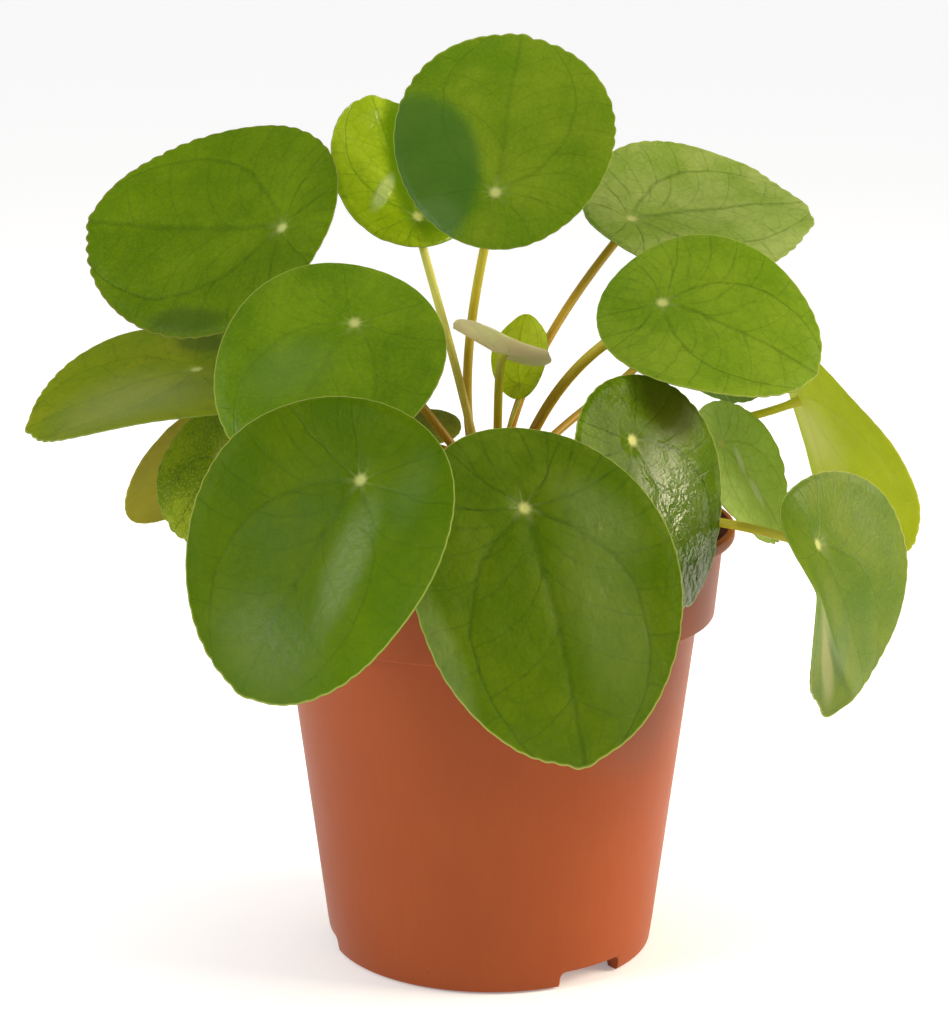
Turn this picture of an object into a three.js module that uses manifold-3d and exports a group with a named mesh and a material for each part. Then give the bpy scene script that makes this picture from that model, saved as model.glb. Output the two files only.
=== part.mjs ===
// Chinese money plant (Pilea peperomioides) in a 12 cm plastic nursery pot.
// Millimetres, +Z up. The origin is on the pot's axis, in the plane that it stands on.
// The front of the plant looks along -Y, and +X is on its right.
import * as THREE from "three";
import { mergeVertices } from "three/addons/utils/BufferGeometryUtils.js";
import Module from "manifold-3d";

// ---- Driving dimensions ----

const GAP = 0.3; // clearance between pieces that touch

const POT = {
  padRadius: 13, // flat pad under the middle of the floor
  footInner: 37.2, // ring that the pot also stands on
  footOuter: 39.6,
  footRadius: 40.6, // wall just above the foot's rounding
  footRounding: 0.9,
  floorClear: 3, // height of the raised floor's underside
  floor: 1.6, // floor thickness
  wall: 1.2,
  bandHeight: 85.2, // lower edge of the rim band
  wallTop: 51.4, // wall radius just under the band
  bandLow: 55.4, // band radius at its lower edge
  bandHigh: 57.2, // band radius under the lip
  lipHeight: 104.2,
  lipRadius: 60,
  lipInner: 58.4, // mouth radius at the lip's top
  height: 108,
  sides: 44,
};

const NOTCH = { middles: [37, -82, 157], width: 26, height: 4, corner: 1.5 };
const DRAIN = { count: 6, circle: 27, radius: 3.5, sides: 10 };

const SOIL = { top: 98, swell: 0.9, sides: 28, rings: [10, 20, 30, 41] };

const TRUNK = {
  x: 1, // stands a little off the pot's axis
  foot: 56, // rooted end, inside the soil
  shoulder: 119,
  tip: 126.5,
  lowRadius: 4.7,
  highRadius: 3.7,
  scar: 0.25, // how far the old leaf scars stand out
  scarPitch: 6.3,
  sides: 14,
};

const BLADE = { thick: 0.8, spokes: 28, rings: [0.38, 0.72, 1], scallop: 0.008, point: 0.015 };

const STALK = { sides: 6, steps: 9 };

// Each leaf's blade is nearly round, and its stalk meets it inside the outline, at the hub.
// hub      where the stalk meets the blade
// tilt     0 lies flat, 90 stands upright
// facing   where the blade's face looks: 0 front, 90 right, 180 back
// turn     where its tip points in its own plane: 0 downhill, 90 to the right as it faces us
// long, wide   size of the blade
// inset    share of the length that lies behind the hub
// egg      how much wider the half behind the middle is
// cup      how far the whole margin lies back
// fold     [direction, distance from the hub, angle, radius] where a margin is folded back
// bend     [amount, direction] of a fold line across the blade
// wave     [amount, direction] of a threefold wave of the margin
// stalk    [direction, distance from the trunk's axis, height] of its root,
//          then rise (degrees), reach and arrival (shares of its length), and diameter
const LEAVES = [
  { hub: [1, 2, 188], tilt: 61, facing: -4, turn: 174, long: 58.5, wide: 54, inset: 0.25, egg: -0.06,
    cup: 0.04, bend: [0.02, -80], wave: [0.01, -39],
    stalk: [-128, 3.8, 115], rise: 64, reach: 0.41, arrival: 0.12, diameter: 2.5, colour: 0x6a9a1a },
  { hub: [-18, 24, 180], tilt: 52, facing: 26, turn: -172, long: 43, wide: 37.5, inset: 0.21, egg: 0.07,
    cup: -0.02, bend: [0.07, -17], wave: [0.01, 57],
    stalk: [-64, 3.6, 117.5], rise: 79, reach: 0.43, arrival: 0.05, diameter: 2.3, colour: 0x8fb41e },
  { hub: [-51, 7, 179], tilt: 50, facing: -35, turn: -83, long: 70, wide: 63, inset: 0.21, egg: 0.12,
    cup: -0.03, bend: [0.04, 4], wave: [0.01, 4],
    stalk: [-98, 2, 110], rise: 44, reach: 0.45, arrival: 0.08, diameter: 2.5, colour: 0x5c8c14 },
  { hub: [-73, 12, 143.5], tilt: 17, facing: -23, turn: -55, long: 68, wide: 64, inset: 0.36, egg: 0.07,
    cup: 0.04, bend: [0.07, -69], wave: [0.05, 45],
    stalk: [-106, 2, 106], rise: 40, reach: 0.45, arrival: 0.1, diameter: 2.4, colour: 0x7f8f2e },
  { hub: [-32, -22, 160], tilt: 46, facing: -3, turn: -28, long: 58, wide: 52.5, inset: 0.28, egg: 0.08,
    cup: 0.05, bend: [0.05, -87], wave: [0.01, -32],
    stalk: [-44, 3.2, 113], rise: 58, reach: 0.43, arrival: 0.1, diameter: 2.4, colour: 0x5f8a25 },
  { hub: [-28.5, -80, 134.5], tilt: 58, facing: -27, turn: -22, long: 69, wide: 63.5, inset: 0.25, egg: 0.06,
    cup: -0.03, bend: [0.14, -90], wave: [0, 0],
    stalk: [-25, 2, 107.5], rise: 36, reach: 0.45, arrival: 0.14, diameter: 2.5, colour: 0x527d10 },
  { hub: [7, -74, 127], tilt: 54, facing: 21, turn: 5, long: 75, wide: 61.5, inset: 0.27, egg: 0.02,
    cup: 0.06, bend: [0.13, -79], wave: [0.03, 17],
    stalk: [12, 2, 106.5], rise: 34, reach: 0.45, arrival: 0.16, diameter: 2.5, colour: 0x4e7a08 },
  { hub: [-67, -1, 123.5], tilt: 67, facing: -52, turn: -24, long: 39.5, wide: 38, inset: 0.42, egg: 0.03,
    cup: 0, bend: [0.08, 51], wave: [0.04, 38],
    stalk: [-88, 2, 102], rise: 34, reach: 0.45, arrival: 0.12, diameter: 2.2, colour: 0x4a6a10 },
  { hub: [-78, 46, 109.5], tilt: 59, facing: -130, turn: 135, long: 44.5, wide: 42, inset: 0.28, egg: 0.04,
    cup: 0.05, bend: [0.05, -70], wave: [0.01, 11],
    stalk: [-116, 2, 101], rise: 38, reach: 0.45, arrival: 0.15, diameter: 2.2, colour: 0x9a8a20 },
  { hub: [35.5, 25, 179.5], tilt: 27, facing: 12, turn: 97, long: 57.5, wide: 56.5, inset: 0.2, egg: 0.03,
    cup: -0.04, bend: [0.08, -62], wave: [0.07, 28],
    stalk: [135, 3.2, 118.5], rise: 87, reach: 0.42, arrival: 0.03, diameter: 2.4, colour: 0x86a545 },
  { hub: [40, -20, 164.5], tilt: 38, facing: -3, turn: 66, long: 53, wide: 49.5, inset: 0.27, egg: 0.07,
    cup: 0.02, bend: [0.1, 86], wave: [0.02, 40],
    stalk: [74, 3.6, 114], rise: 74, reach: 0.68, arrival: 0.11, diameter: 2.9, colour: 0x6f9f20 },
  { hub: [32, -46, 136.5], tilt: 68, facing: 43, turn: 21, long: 56, wide: 47.5, inset: 0.26, egg: 0.07,
    cup: 0.06, bend: [0.1, 81], wave: [0.01, 26],
    stalk: [35, 2, 111.5], rise: 48, reach: 0.45, arrival: 0.15, diameter: 2.3, colour: 0x456c1c },
  { hub: [59.5, 28, 121.5], tilt: 61, facing: 48, turn: 29, long: 41, wide: 37, inset: 0.25, egg: 0.08,
    cup: 0.02, bend: [0.08, 58], wave: [0.04, -51],
    stalk: [88, 2, 105.5], rise: 40, reach: 0.45, arrival: 0.15, diameter: 2.2, colour: 0x5f8a35 },
  { hub: [83.5, 56, 128], tilt: 67, facing: 98, turn: -45, long: 76, wide: 71, inset: 0.31, egg: 0.04,
    cup: -0.02, bend: [0.11, 33], wave: [0.03, 13],
    stalk: [116, 2.4, 108.5], rise: 31, reach: 0.36, arrival: 0.19, diameter: 2.4, colour: 0x9caa2a },
  { hub: [76.2, -35.7, 109.8], tilt: 68, facing: 60, turn: 15, long: 52, wide: 65, inset: 0.28, egg: -0.01,
    cup: -0.06, bend: [0.175, 84.5], wave: [0.055, -27.5], fold: [58, 23, 46, 4.4],
    stalk: [71, 2, 104], rise: 20, reach: 0.56, arrival: 0.03, diameter: 2.4, colour: 0x6a8f2a },
  { hub: [3, -15, 152], tilt: 28, facing: 132, turn: -172, long: 26.5, wide: 24, inset: 0.39, egg: 0.17,
    cup: -0.09, bend: [0.04, 82], wave: [0.03, -11],
    stalk: [10, 2.4, 121], rise: 80, reach: 0.4, arrival: 0.12, diameter: 2.3, colour: 0xb9c08a },
  { hub: [6.5, -4, 142], tilt: 77, facing: -44, turn: -168, long: 19.5, wide: 18, inset: 0.18, egg: -0.12,
    cup: 0.03, bend: [0.04, -71], wave: [0.01, 51],
    stalk: [60, 1.6, 122], rise: 86, reach: 0.4, arrival: 0.15, diameter: 1.2, colour: 0xa5a51a },
  { hub: [-20, 34, 124], tilt: 9, facing: -12, turn: -100, long: 37, wide: 35, inset: 0.33, egg: 0.05,
    cup: 0.04, bend: [0.03, 80], wave: [0.02, 0],
    stalk: [-172, 2, 112.5], rise: 44, reach: 0.45, arrival: 0.15, diameter: 2.2, colour: 0x3c5c10 },
  { hub: [-54, 68, 150], tilt: 35, facing: -120, turn: 10, long: 60, wide: 55, inset: 0.28, egg: 0.06,
    cup: 0.04, bend: [0.06, 85], wave: [0.02, 20],
    stalk: [-138, 2, 105.5], rise: 5, reach: 0.78, arrival: 0.15, diameter: 2.4, colour: 0x5a8418 },
  { hub: [46, 58, 148], tilt: 34, facing: 142, turn: -8, long: 50, wide: 46, inset: 0.28, egg: 0.05,
    cup: 0.04, bend: [0.07, -85], wave: [0.02, -20],
    stalk: [145, 2, 113], rise: 32, reach: 0.5, arrival: 0.25, diameter: 2.3, colour: 0x648f22 },
  { hub: [-36, 76, 112], tilt: 74, facing: -150, turn: 6, long: 54, wide: 50, inset: 0.28, egg: 0.06,
    cup: 0.05, bend: [0.07, 85], wave: [0.03, 10],
    stalk: [-152, 2, 107], rise: 38, reach: 0.5, arrival: 0.2, diameter: 2.3, colour: 0x4f7a12 },
  { hub: [1, 84, 103], tilt: 100, facing: -175, turn: -5, long: 48, wide: 44, inset: 0.22, egg: 0.05,
    cup: 0.05, bend: [0.08, 88], wave: [0.02, 0],
    stalk: [174, 2, 104], rise: 56, reach: 0.5, arrival: 0.18, diameter: 2.3, colour: 0x54801a },
  { hub: [45, 70, 104], tilt: 76, facing: 140, turn: 5, long: 48, wide: 44, inset: 0.26, egg: 0.06,
    cup: 0.04, bend: [0.06, -80], wave: [0.03, 40],
    stalk: [142, 2, 102], rise: 50, reach: 0.6, arrival: 0.2, diameter: 2.3, colour: 0x5c8820 },
];

// ---- Solids ----

const wasm = await Module();
wasm.setup();

function toSolid(geometry) {
  const bare = geometry.clone();
  bare.deleteAttribute("normal");
  bare.deleteAttribute("uv");
  const merged = mergeVertices(bare, 1e-4);
  return new wasm.Manifold(
    new wasm.Mesh({
      numProp: 3,
      vertProperties: new Float32Array(merged.attributes.position.array),
      triVerts: new Uint32Array(merged.index.array),
    }),
  );
}

function toGeometry(solid) {
  const mesh = solid.getMesh();
  const geometry = new THREE.BufferGeometry();
  geometry.setAttribute("position", new THREE.BufferAttribute(mesh.vertProperties, 3));
  geometry.setIndex(new THREE.BufferAttribute(mesh.triVerts, 1));
  return geometry;
}

const radians = THREE.MathUtils.degToRad;

// Horizontal unit vector towards a direction: 0 is the front, 90 the right.
function heading(degrees) {
  return new THREE.Vector3(Math.sin(radians(degrees)), -Math.cos(radians(degrees)), 0);
}

// A profile of [radius, height] pairs turned round the Z axis.
function turned(profile, sides) {
  const points = profile.map(([radius, height]) => new THREE.Vector2(radius, height));
  return new THREE.LatheGeometry(points, sides).rotateX(Math.PI / 2);
}

// ---- Pot ----

// Outer and inner radius of the tapering wall at a height.
function wallRadius(height) {
  return POT.footRadius + ((POT.wallTop - POT.footRadius) * height) / POT.bandHeight;
}

const innerFloor = POT.floorClear + POT.floor;

function potBody() {
  const slope = 2.4; // run of the cone between the pad and the raised floor
  const step = 0.5; // fall of the band's lower face
  const rounding = 0.6; // of the lip's edges
  const profile = [
    [0, 0],
    [POT.padRadius, 0],
    [POT.padRadius + slope, POT.floorClear],
    [POT.footInner - 1, POT.floorClear],
    [POT.footInner, 0],
    [POT.footOuter, 0],
    [POT.footRadius, POT.footRounding],
    [wallRadius(POT.bandHeight / 2), POT.bandHeight / 2],
    [POT.wallTop, POT.bandHeight],
    [POT.bandLow - step, POT.bandHeight],
    [POT.bandLow, POT.bandHeight + step],
    [POT.bandHigh, POT.lipHeight],
    [POT.lipRadius - rounding, POT.lipHeight + step],
    [POT.lipRadius, POT.lipHeight + step + rounding],
    [POT.lipRadius, POT.height - rounding],
    [POT.lipRadius - rounding, POT.height],
    [POT.lipInner, POT.height],
    [POT.bandHigh - POT.wall, POT.lipHeight - rounding],
    [POT.bandLow - POT.wall, POT.bandHeight + POT.wall],
    [POT.wallTop - POT.wall, POT.bandHeight + POT.wall],
    [wallRadius(innerFloor) - POT.wall, innerFloor],
    [POT.padRadius + slope - POT.floor / 2, innerFloor],
    [POT.padRadius - POT.floor / 2, POT.floor],
    [0, POT.floor],
  ];
  return turned(profile, POT.sides);
}

// A block that cuts one drainage notch through the foot ring, with round upper corners.
function notchCutter(middle) {
  const half = POT.footRadius * Math.sin(radians(NOTCH.width / 2));
  const outline = new THREE.Shape();
  outline.moveTo(-half, -1);
  outline.lineTo(half, -1);
  outline.lineTo(half, NOTCH.height - NOTCH.corner);
  outline.quadraticCurveTo(half, NOTCH.height, half - NOTCH.corner, NOTCH.height);
  outline.lineTo(NOTCH.corner - half, NOTCH.height);
  outline.quadraticCurveTo(-half, NOTCH.height, -half, NOTCH.height - NOTCH.corner);
  outline.closePath();
  const inner = 33; // starts under the raised floor, inside the foot ring
  return new THREE.ExtrudeGeometry(outline, { depth: 12, bevelEnabled: false, curveSegments: 3 })
    .translate(0, 0, inner)
    .rotateX(Math.PI / 2)
    .rotateZ(radians(middle));
}

function drainCutter(angle) {
  const length = 10;
  return new THREE.CylinderGeometry(DRAIN.radius, DRAIN.radius, length, DRAIN.sides)
    .rotateX(Math.PI / 2)
    .translate(DRAIN.circle * Math.cos(angle), DRAIN.circle * Math.sin(angle), POT.floorClear);
}

function potGeometry() {
  let pot = toSolid(potBody());
  for (const middle of NOTCH.middles) pot = pot.subtract(toSolid(notchCutter(middle)));
  for (let k = 0; k < DRAIN.count; k++) {
    const angle = ((k + 0.5) * 2 * Math.PI) / DRAIN.count;
    pot = pot.subtract(toSolid(drainCutter(angle)));
  }
  return toGeometry(pot);
}

// ---- Trunk and soil ----

// The short woody trunk, ringed by the scars of shed leaves; grown is added all round it.
function trunkGeometry(grown) {
  const profile = [[0, TRUNK.foot - grown], [TRUNK.lowRadius - 1 + grown, TRUNK.foot - grown]];
  const run = TRUNK.shoulder - TRUNK.foot;
  const half = TRUNK.scarPitch / 2;
  const count = Math.round(run / half);
  for (let k = 1; k <= count; k++) {
    const height = TRUNK.foot + (run * k) / count;
    const taper = THREE.MathUtils.lerp(TRUNK.lowRadius, TRUNK.highRadius, k / count);
    const scar = k % 2 ? TRUNK.scar : 0;
    profile.push([taper + scar + grown, height]);
  }
  profile.push([TRUNK.highRadius * 0.72 + grown, (TRUNK.shoulder + TRUNK.tip) / 2 + grown]);
  profile.push([0, TRUNK.tip + grown]);
  return turned(profile, TRUNK.sides).translate(TRUNK.x, 0, 0);
}

// Potting soil up to a finger's width under the lip, with a gently uneven top.
function soilGeometry() {
  const bottom = innerFloor + GAP;
  const clear = POT.wall + GAP;
  const bandFloor = POT.bandHeight + POT.wall + GAP;
  const bandRadius = POT.bandLow - clear;
  const profile = [[0, bottom], [wallRadius(bottom) - clear - GAP, bottom]];
  profile.push([POT.wallTop - clear, bandFloor - GAP]);
  profile.push([POT.wallTop - clear, bandFloor]);
  profile.push([bandRadius, bandFloor], [bandRadius + GAP, SOIL.top]);
  for (const ring of [...SOIL.rings].reverse()) profile.push([ring, SOIL.top]);
  profile.push([0, SOIL.top]);
  const geometry = turned(profile, SOIL.sides);
  const at = geometry.attributes.position;
  for (let i = 0; i < at.count; i++) {
    if (at.getZ(i) < SOIL.top - 1) continue;
    const x = at.getX(i);
    const y = at.getY(i);
    const lumps = Math.sin(x / 7.3 + 1.1) * Math.cos(y / 6.1) + 0.6 * Math.sin((x + y) / 4.7);
    at.setZ(i, SOIL.top + SOIL.swell * lumps);
  }
  return toGeometry(toSolid(geometry).subtract(toSolid(trunkGeometry(GAP))));
}

// ---- Leaves ----

// The blade's own axes: across, towards its tip, and out of its face.
function bladeAxes(leaf) {
  const tilt = radians(leaf.tilt);
  const turn = radians(leaf.turn);
  const out = heading(leaf.facing);
  const up = new THREE.Vector3(0, 0, 1);
  const face = up.clone().multiplyScalar(Math.cos(tilt)).addScaledVector(out, Math.sin(tilt));
  const down = out.clone().multiplyScalar(Math.cos(tilt)).addScaledVector(up, -Math.sin(tilt));
  const side = face.clone().cross(down);
  const tip = down.multiplyScalar(Math.cos(turn)).addScaledVector(side, Math.sin(turn));
  return { across: tip.clone().cross(face), tip, face };
}

// How a folded margin moves a point: run is its shift along the fold's direction, drop its fall.
function foldedBack(leaf, x, y, lift) {
  if (!leaf.fold) return { run: 0, drop: 0, along: 0 };
  const [direction, start, angle, radius] = leaf.fold;
  const along = radians(direction);
  const past = x * Math.sin(along) + y * Math.cos(along) - start;
  if (past <= 0) return { run: 0, drop: 0, along };
  const most = radians(angle);
  const turned = Math.min(past / radius, most);
  const rest = Math.max(past - most * radius, 0);
  const ahead = (radius + lift) * Math.sin(turned) + rest * Math.cos(most);
  const drop = (radius + lift) * (1 - Math.cos(turned)) + rest * Math.sin(most);
  return { run: ahead - past, drop, along };
}

// A point of the blade: angle runs round the margin from the tip, share goes from hub to margin,
// and lift moves it off the middle surface.
function bladePoint(leaf, axes, angle, share, lift) {
  const half = leaf.long / 2;
  const x = share * (leaf.wide / 2) * Math.sin(angle) * (1 - leaf.egg * Math.cos(angle));
  const y = share * (leaf.long * (0.5 - leaf.inset) + half * Math.cos(angle));
  const reach = (x * x + y * y) / (half * half);
  const around = Math.atan2(x, y);
  const [bend, bendAt] = leaf.bend;
  const [wave, waveAt] = leaf.wave;
  const curl =
    bend * Math.cos(2 * (around - radians(bendAt))) + wave * Math.cos(3 * (around - radians(waveAt)));
  const z = half * reach * (curl - leaf.cup) + lift;
  const { run, drop, along } = foldedBack(leaf, x, y, lift);
  return new THREE.Vector3(...leaf.hub)
    .addScaledVector(axes.across, x + run * Math.sin(along))
    .addScaledVector(axes.tip, y + run * Math.cos(along))
    .addScaledVector(axes.face, z - drop);
}

// Upper and lower face share one split into triangles, so the thin blade never crosses itself.
function bladeGeometry(leaf) {
  const axes = bladeAxes(leaf);
  const { spokes, rings, thick, scallop, point } = BLADE;
  const positions = [];
  for (const lift of [thick / 2, -thick / 2]) {
    positions.push(...bladePoint(leaf, axes, 0, 0, lift));
    for (const ring of rings) {
      for (let k = 0; k < spokes; k++) {
        const edge = ring === 1 ? (k % 2 ? -scallop : scallop) + (k === 0 ? point : 0) : 0;
        positions.push(...bladePoint(leaf, axes, (2 * Math.PI * k) / spokes, ring + edge, lift));
      }
    }
  }
  const perFace = 1 + rings.length * spokes;
  const at = (face, ring, k) => face * perFace + 1 + ring * spokes + (k % spokes);
  const index = [];
  const triangle = (face, a, b, c) => index.push(...(face ? [a, c, b] : [a, b, c]));
  for (const face of [0, 1]) {
    for (let k = 0; k < spokes; k++) {
      triangle(face, face * perFace, at(face, 0, k + 1), at(face, 0, k));
      for (let ring = 0; ring < rings.length - 1; ring++) {
        triangle(face, at(face, ring, k), at(face, ring, k + 1), at(face, ring + 1, k));
        triangle(face, at(face, ring, k + 1), at(face, ring + 1, k + 1), at(face, ring + 1, k));
      }
    }
  }
  const last = rings.length - 1;
  for (let k = 0; k < spokes; k++) {
    index.push(at(0, last, k), at(0, last, k + 1), at(1, last, k));
    index.push(at(0, last, k + 1), at(1, last, k + 1), at(1, last, k));
  }
  const geometry = new THREE.BufferGeometry();
  geometry.setAttribute("position", new THREE.Float32BufferAttribute(positions, 3));
  geometry.setIndex(index);
  return geometry;
}

// The leaf stalk leaves the trunk upwards, arches over and meets the blade square from behind.
function stalkCurve(leaf) {
  const { face } = bladeAxes(leaf);
  const [direction, distance, height] = leaf.stalk;
  const out = heading(direction);
  const root = new THREE.Vector3(TRUNK.x, 0, height).addScaledVector(out, distance);
  const end = new THREE.Vector3(...leaf.hub).addScaledVector(face, -BLADE.thick / 2 - GAP);
  const length = root.distanceTo(end);
  const rise = radians(leaf.rise);
  const first = root
    .clone()
    .addScaledVector(out, leaf.reach * length * Math.cos(rise))
    .add(new THREE.Vector3(0, 0, leaf.reach * length * Math.sin(rise)));
  const second = end.clone().addScaledVector(face, -leaf.arrival * length);
  return new THREE.CubicBezierCurve3(root, first, second, end);
}

function stalkGeometry(leaf, cutter) {
  const outline = new THREE.Shape();
  for (let k = 0; k < STALK.sides; k++) {
    const angle = (2 * Math.PI * k) / STALK.sides;
    const x = (leaf.diameter / 2) * Math.cos(angle);
    const y = (leaf.diameter / 2) * Math.sin(angle);
    if (k === 0) outline.moveTo(x, y);
    else outline.lineTo(x, y);
  }
  outline.closePath();
  const tube = new THREE.ExtrudeGeometry(outline, {
    steps: STALK.steps,
    extrudePath: stalkCurve(leaf),
    bevelEnabled: false,
  });
  return toGeometry(toSolid(tube).subtract(cutter));
}

// ---- Assembly ----

const plant = new THREE.Group();

function add(name, geometry, colour, roughness) {
  const material = new THREE.MeshStandardMaterial({ color: colour, roughness, metalness: 0 });
  const mesh = new THREE.Mesh(geometry, material);
  mesh.name = name;
  plant.add(mesh);
}

add("pot", potGeometry(), 0xb05a34, 0.5);
add("soil", soilGeometry(), 0x3a2a1e, 0.95);
add("trunk", trunkGeometry(0), 0x6b5a36, 0.8);

const trunkWithGap = toSolid(trunkGeometry(GAP));
LEAVES.forEach((leaf, index) => {
  const number = String(index + 1).padStart(2, "0");
  add(`petiole_${number}`, stalkGeometry(leaf, trunkWithGap), 0x8f8a2c, 0.5);
  add(`leaf_${number}`, bladeGeometry(leaf), leaf.colour, 0.4);
});

export default plant;
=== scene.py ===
# %% [markdown]
# # A Chinese money plant in its nursery pot
# Pilea peperomioides carries coin-shaped leaves on long stalks that join each blade inside its
# outline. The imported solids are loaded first, because they fix every size and place; each piece
# made below is dressed on them, in metres, in the same frame.

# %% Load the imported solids
import bpy
import math
import random
import numpy as np
from mathutils import Matrix, Vector, noise


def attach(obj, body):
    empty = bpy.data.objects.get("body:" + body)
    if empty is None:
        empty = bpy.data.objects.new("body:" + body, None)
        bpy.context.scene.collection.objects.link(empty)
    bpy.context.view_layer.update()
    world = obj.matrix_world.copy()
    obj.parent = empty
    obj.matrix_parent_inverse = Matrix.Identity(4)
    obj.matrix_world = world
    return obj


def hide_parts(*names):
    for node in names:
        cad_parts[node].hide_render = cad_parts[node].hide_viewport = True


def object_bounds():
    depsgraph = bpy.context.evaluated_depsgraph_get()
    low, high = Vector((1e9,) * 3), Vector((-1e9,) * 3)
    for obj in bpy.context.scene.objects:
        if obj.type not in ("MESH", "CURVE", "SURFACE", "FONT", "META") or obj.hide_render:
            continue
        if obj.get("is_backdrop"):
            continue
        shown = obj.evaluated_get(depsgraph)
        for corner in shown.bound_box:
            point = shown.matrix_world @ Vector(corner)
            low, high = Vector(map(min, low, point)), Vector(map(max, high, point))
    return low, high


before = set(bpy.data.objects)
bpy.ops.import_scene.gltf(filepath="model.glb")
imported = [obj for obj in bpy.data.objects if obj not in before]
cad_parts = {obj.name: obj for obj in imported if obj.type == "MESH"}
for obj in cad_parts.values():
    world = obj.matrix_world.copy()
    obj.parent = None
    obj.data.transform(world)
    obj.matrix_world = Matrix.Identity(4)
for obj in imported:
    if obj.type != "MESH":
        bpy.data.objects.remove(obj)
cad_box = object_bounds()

print("solids:", len(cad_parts), "box:", [tuple(round(c, 4) for c in corner) for corner in cad_box])

# %% [markdown]
# ## The camera
# The photo was taken from a little above the leaves with a long lens, so the sides of the pot
# hardly converge. The lens is worked out from the focal length in pixels: a 36 mm sensor spans
# the picture's longer side.

# %% Camera
MM = 0.001
PICTURE = (948, 1024)
FOCAL_PIXELS = 2533.2
CAMERA_AT = (-0.00414, -0.6096, 0.2448)
LOOK_DOWN = math.radians(12.51)
SENSOR = 36.0

bpy.ops.object.select_all(action="DESELECT")
bpy.ops.object.camera_add(location=CAMERA_AT, rotation=(math.pi / 2 - LOOK_DOWN, 0, 0))
camera = bpy.context.object
camera.name = "photo_camera"
camera.data.sensor_width = SENSOR
camera.data.lens = FOCAL_PIXELS * SENSOR / max(PICTURE)
camera.data.clip_start = 0.01
camera.data.clip_end = 50
bpy.context.scene.camera = camera
print("lens:", round(camera.data.lens, 2), "mm")

# %% [markdown]
# ## Three small helpers
# Colours are written as the sRGB hex values that a colour picker shows, and shaders count in
# linear light, so one function turns one into the other. The second adds a shader node, with its
# settings and what feeds it, and hands back one of its outputs. The third starts an empty
# material. Some settings come up again and again, so they have names: a mix of colours, a smooth
# ramp, and a ramp that falls from 1 to 0.

# %% Colour and node helpers
MIX_COLOURS = dict(output=2, data_type="RGBA")
SMOOTH = dict(interpolation_type="SMOOTHSTEP")
FALLING = {"To Min": 1.0, "To Max": 0.0}


def linear(hex_value, alpha=1.0):
    channels = [int(hex_value[i:i + 2], 16) / 255 for i in (1, 3, 5)]
    light = [c / 12.92 if c <= 0.04045 else ((c + 0.055) / 1.055) ** 2.4 for c in channels]
    return (*light, alpha)


def add_node(tree, kind, feeds=None, output=0, **settings):
    node = tree.nodes.new("ShaderNode" + kind)
    for key, value in settings.items():
        setattr(node, key, value)
    for socket, value in (feeds or {}).items():
        if isinstance(value, bpy.types.NodeSocket):
            tree.links.new(value, node.inputs[socket])
        else:
            node.inputs[socket].default_value = value
    return node.outputs[output] if len(node.outputs) else node


def new_material(name):
    material = bpy.data.materials.new(name)
    material.use_nodes = True
    material.node_tree.nodes.clear()
    return material, material.node_tree


print("mid green in linear light:", [round(c, 3) for c in linear("#5c8c14")])

# %% [markdown]
# ## Terracotta-coloured polypropylene
# Nursery pots are injection moulded from pigmented polypropylene. The mould gives them a satin
# skin: broad soft highlights, with faint flow streaks that run up the wall. A grey patch of painted
# shadow lies on the front, and the inside wall is painted dark as shade. The plastic's refractive
# index is 1.49. The streaks are drawn 1.5 mm wide, several times coarser than real ones, so that
# they show at all.

# %% Pot plastic: where each tone lies
STREAK_MM = 1.5
STAIN_MM = 26
GRAIN_MM = 0.45
SPECK_PITCH_MM = 14
LEAF_SHADOW_AT = (0.033, -0.035, 0.062)
LEAF_SHADOW_SIZE = (0.014, 0.02, 0.012)

pot_plastic, tree = new_material("moulded_polypropylene")
place = add_node(tree, "TexCoord", output="Object")
drawn_up = add_node(tree, "Mapping", {"Vector": place, "Scale": (1, 1, 0.06)})
streaks, stains, grain = (
    add_node(tree, "TexNoise", {"Vector": where, "Scale": 1 / (size * MM), "Detail": detail})
    for where, size, detail in ((drawn_up, STREAK_MM, 3.0), (place, STAIN_MM, 4.0),
                                (place, GRAIN_MM, 2.0)))
specks = add_node(tree, "TexVoronoi", {"Vector": place, "Scale": 1 / (SPECK_PITCH_MM * MM)})
streaked = add_node(tree, "MapRange", {"Value": streaks, "From Min": 0.3, "From Max": 0.7,
                                       "To Max": 0.22})
speckled = add_node(tree, "MapRange", {"Value": specks, "From Min": 0.018, "From Max": 0.034,
                                       "To Min": 0.55, "To Max": 0.0})
# A grey patch of painted shadow on the front, halfway up, where a leaf's shadow falls on the wall.
leaf_shadow_spot = add_node(tree, "Mapping", {"Vector": place, "Location": LEAF_SHADOW_AT, "Scale": LEAF_SHADOW_SIZE},
                 vector_type="TEXTURE")
leaf_shadow_spot = add_node(tree, "VectorMath", {0: leaf_shadow_spot}, output="Value", operation="LENGTH")
painted_leaf_shadow = add_node(tree, "MapRange", {"Value": leaf_shadow_spot, "From Min": 0.2, "From Max": 1.2,
                                      "To Min": 0.35, "To Max": 0.0}, **SMOOTH)
# The inside wall is painted dark as shade: there the surface looks towards the pot's axis.
surface = add_node(tree, "NewGeometry", output="Normal")
outward = add_node(tree, "VectorMath", {0: place, 1: (1, 1, 0)}, operation="MULTIPLY")
outward = add_node(tree, "VectorMath", {0: outward}, operation="NORMALIZE")
facing = add_node(tree, "VectorMath", {0: surface, 1: outward}, output="Value", operation="DOT_PRODUCT")
inside_shade = add_node(tree, "MapRange", {"Value": facing, "From Min": -0.75, "From Max": -0.3,
                                     "To Min": 0.8, "To Max": 0.0})
print("pot patterns:", STREAK_MM, STAIN_MM, GRAIN_MM, "mm")

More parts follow.
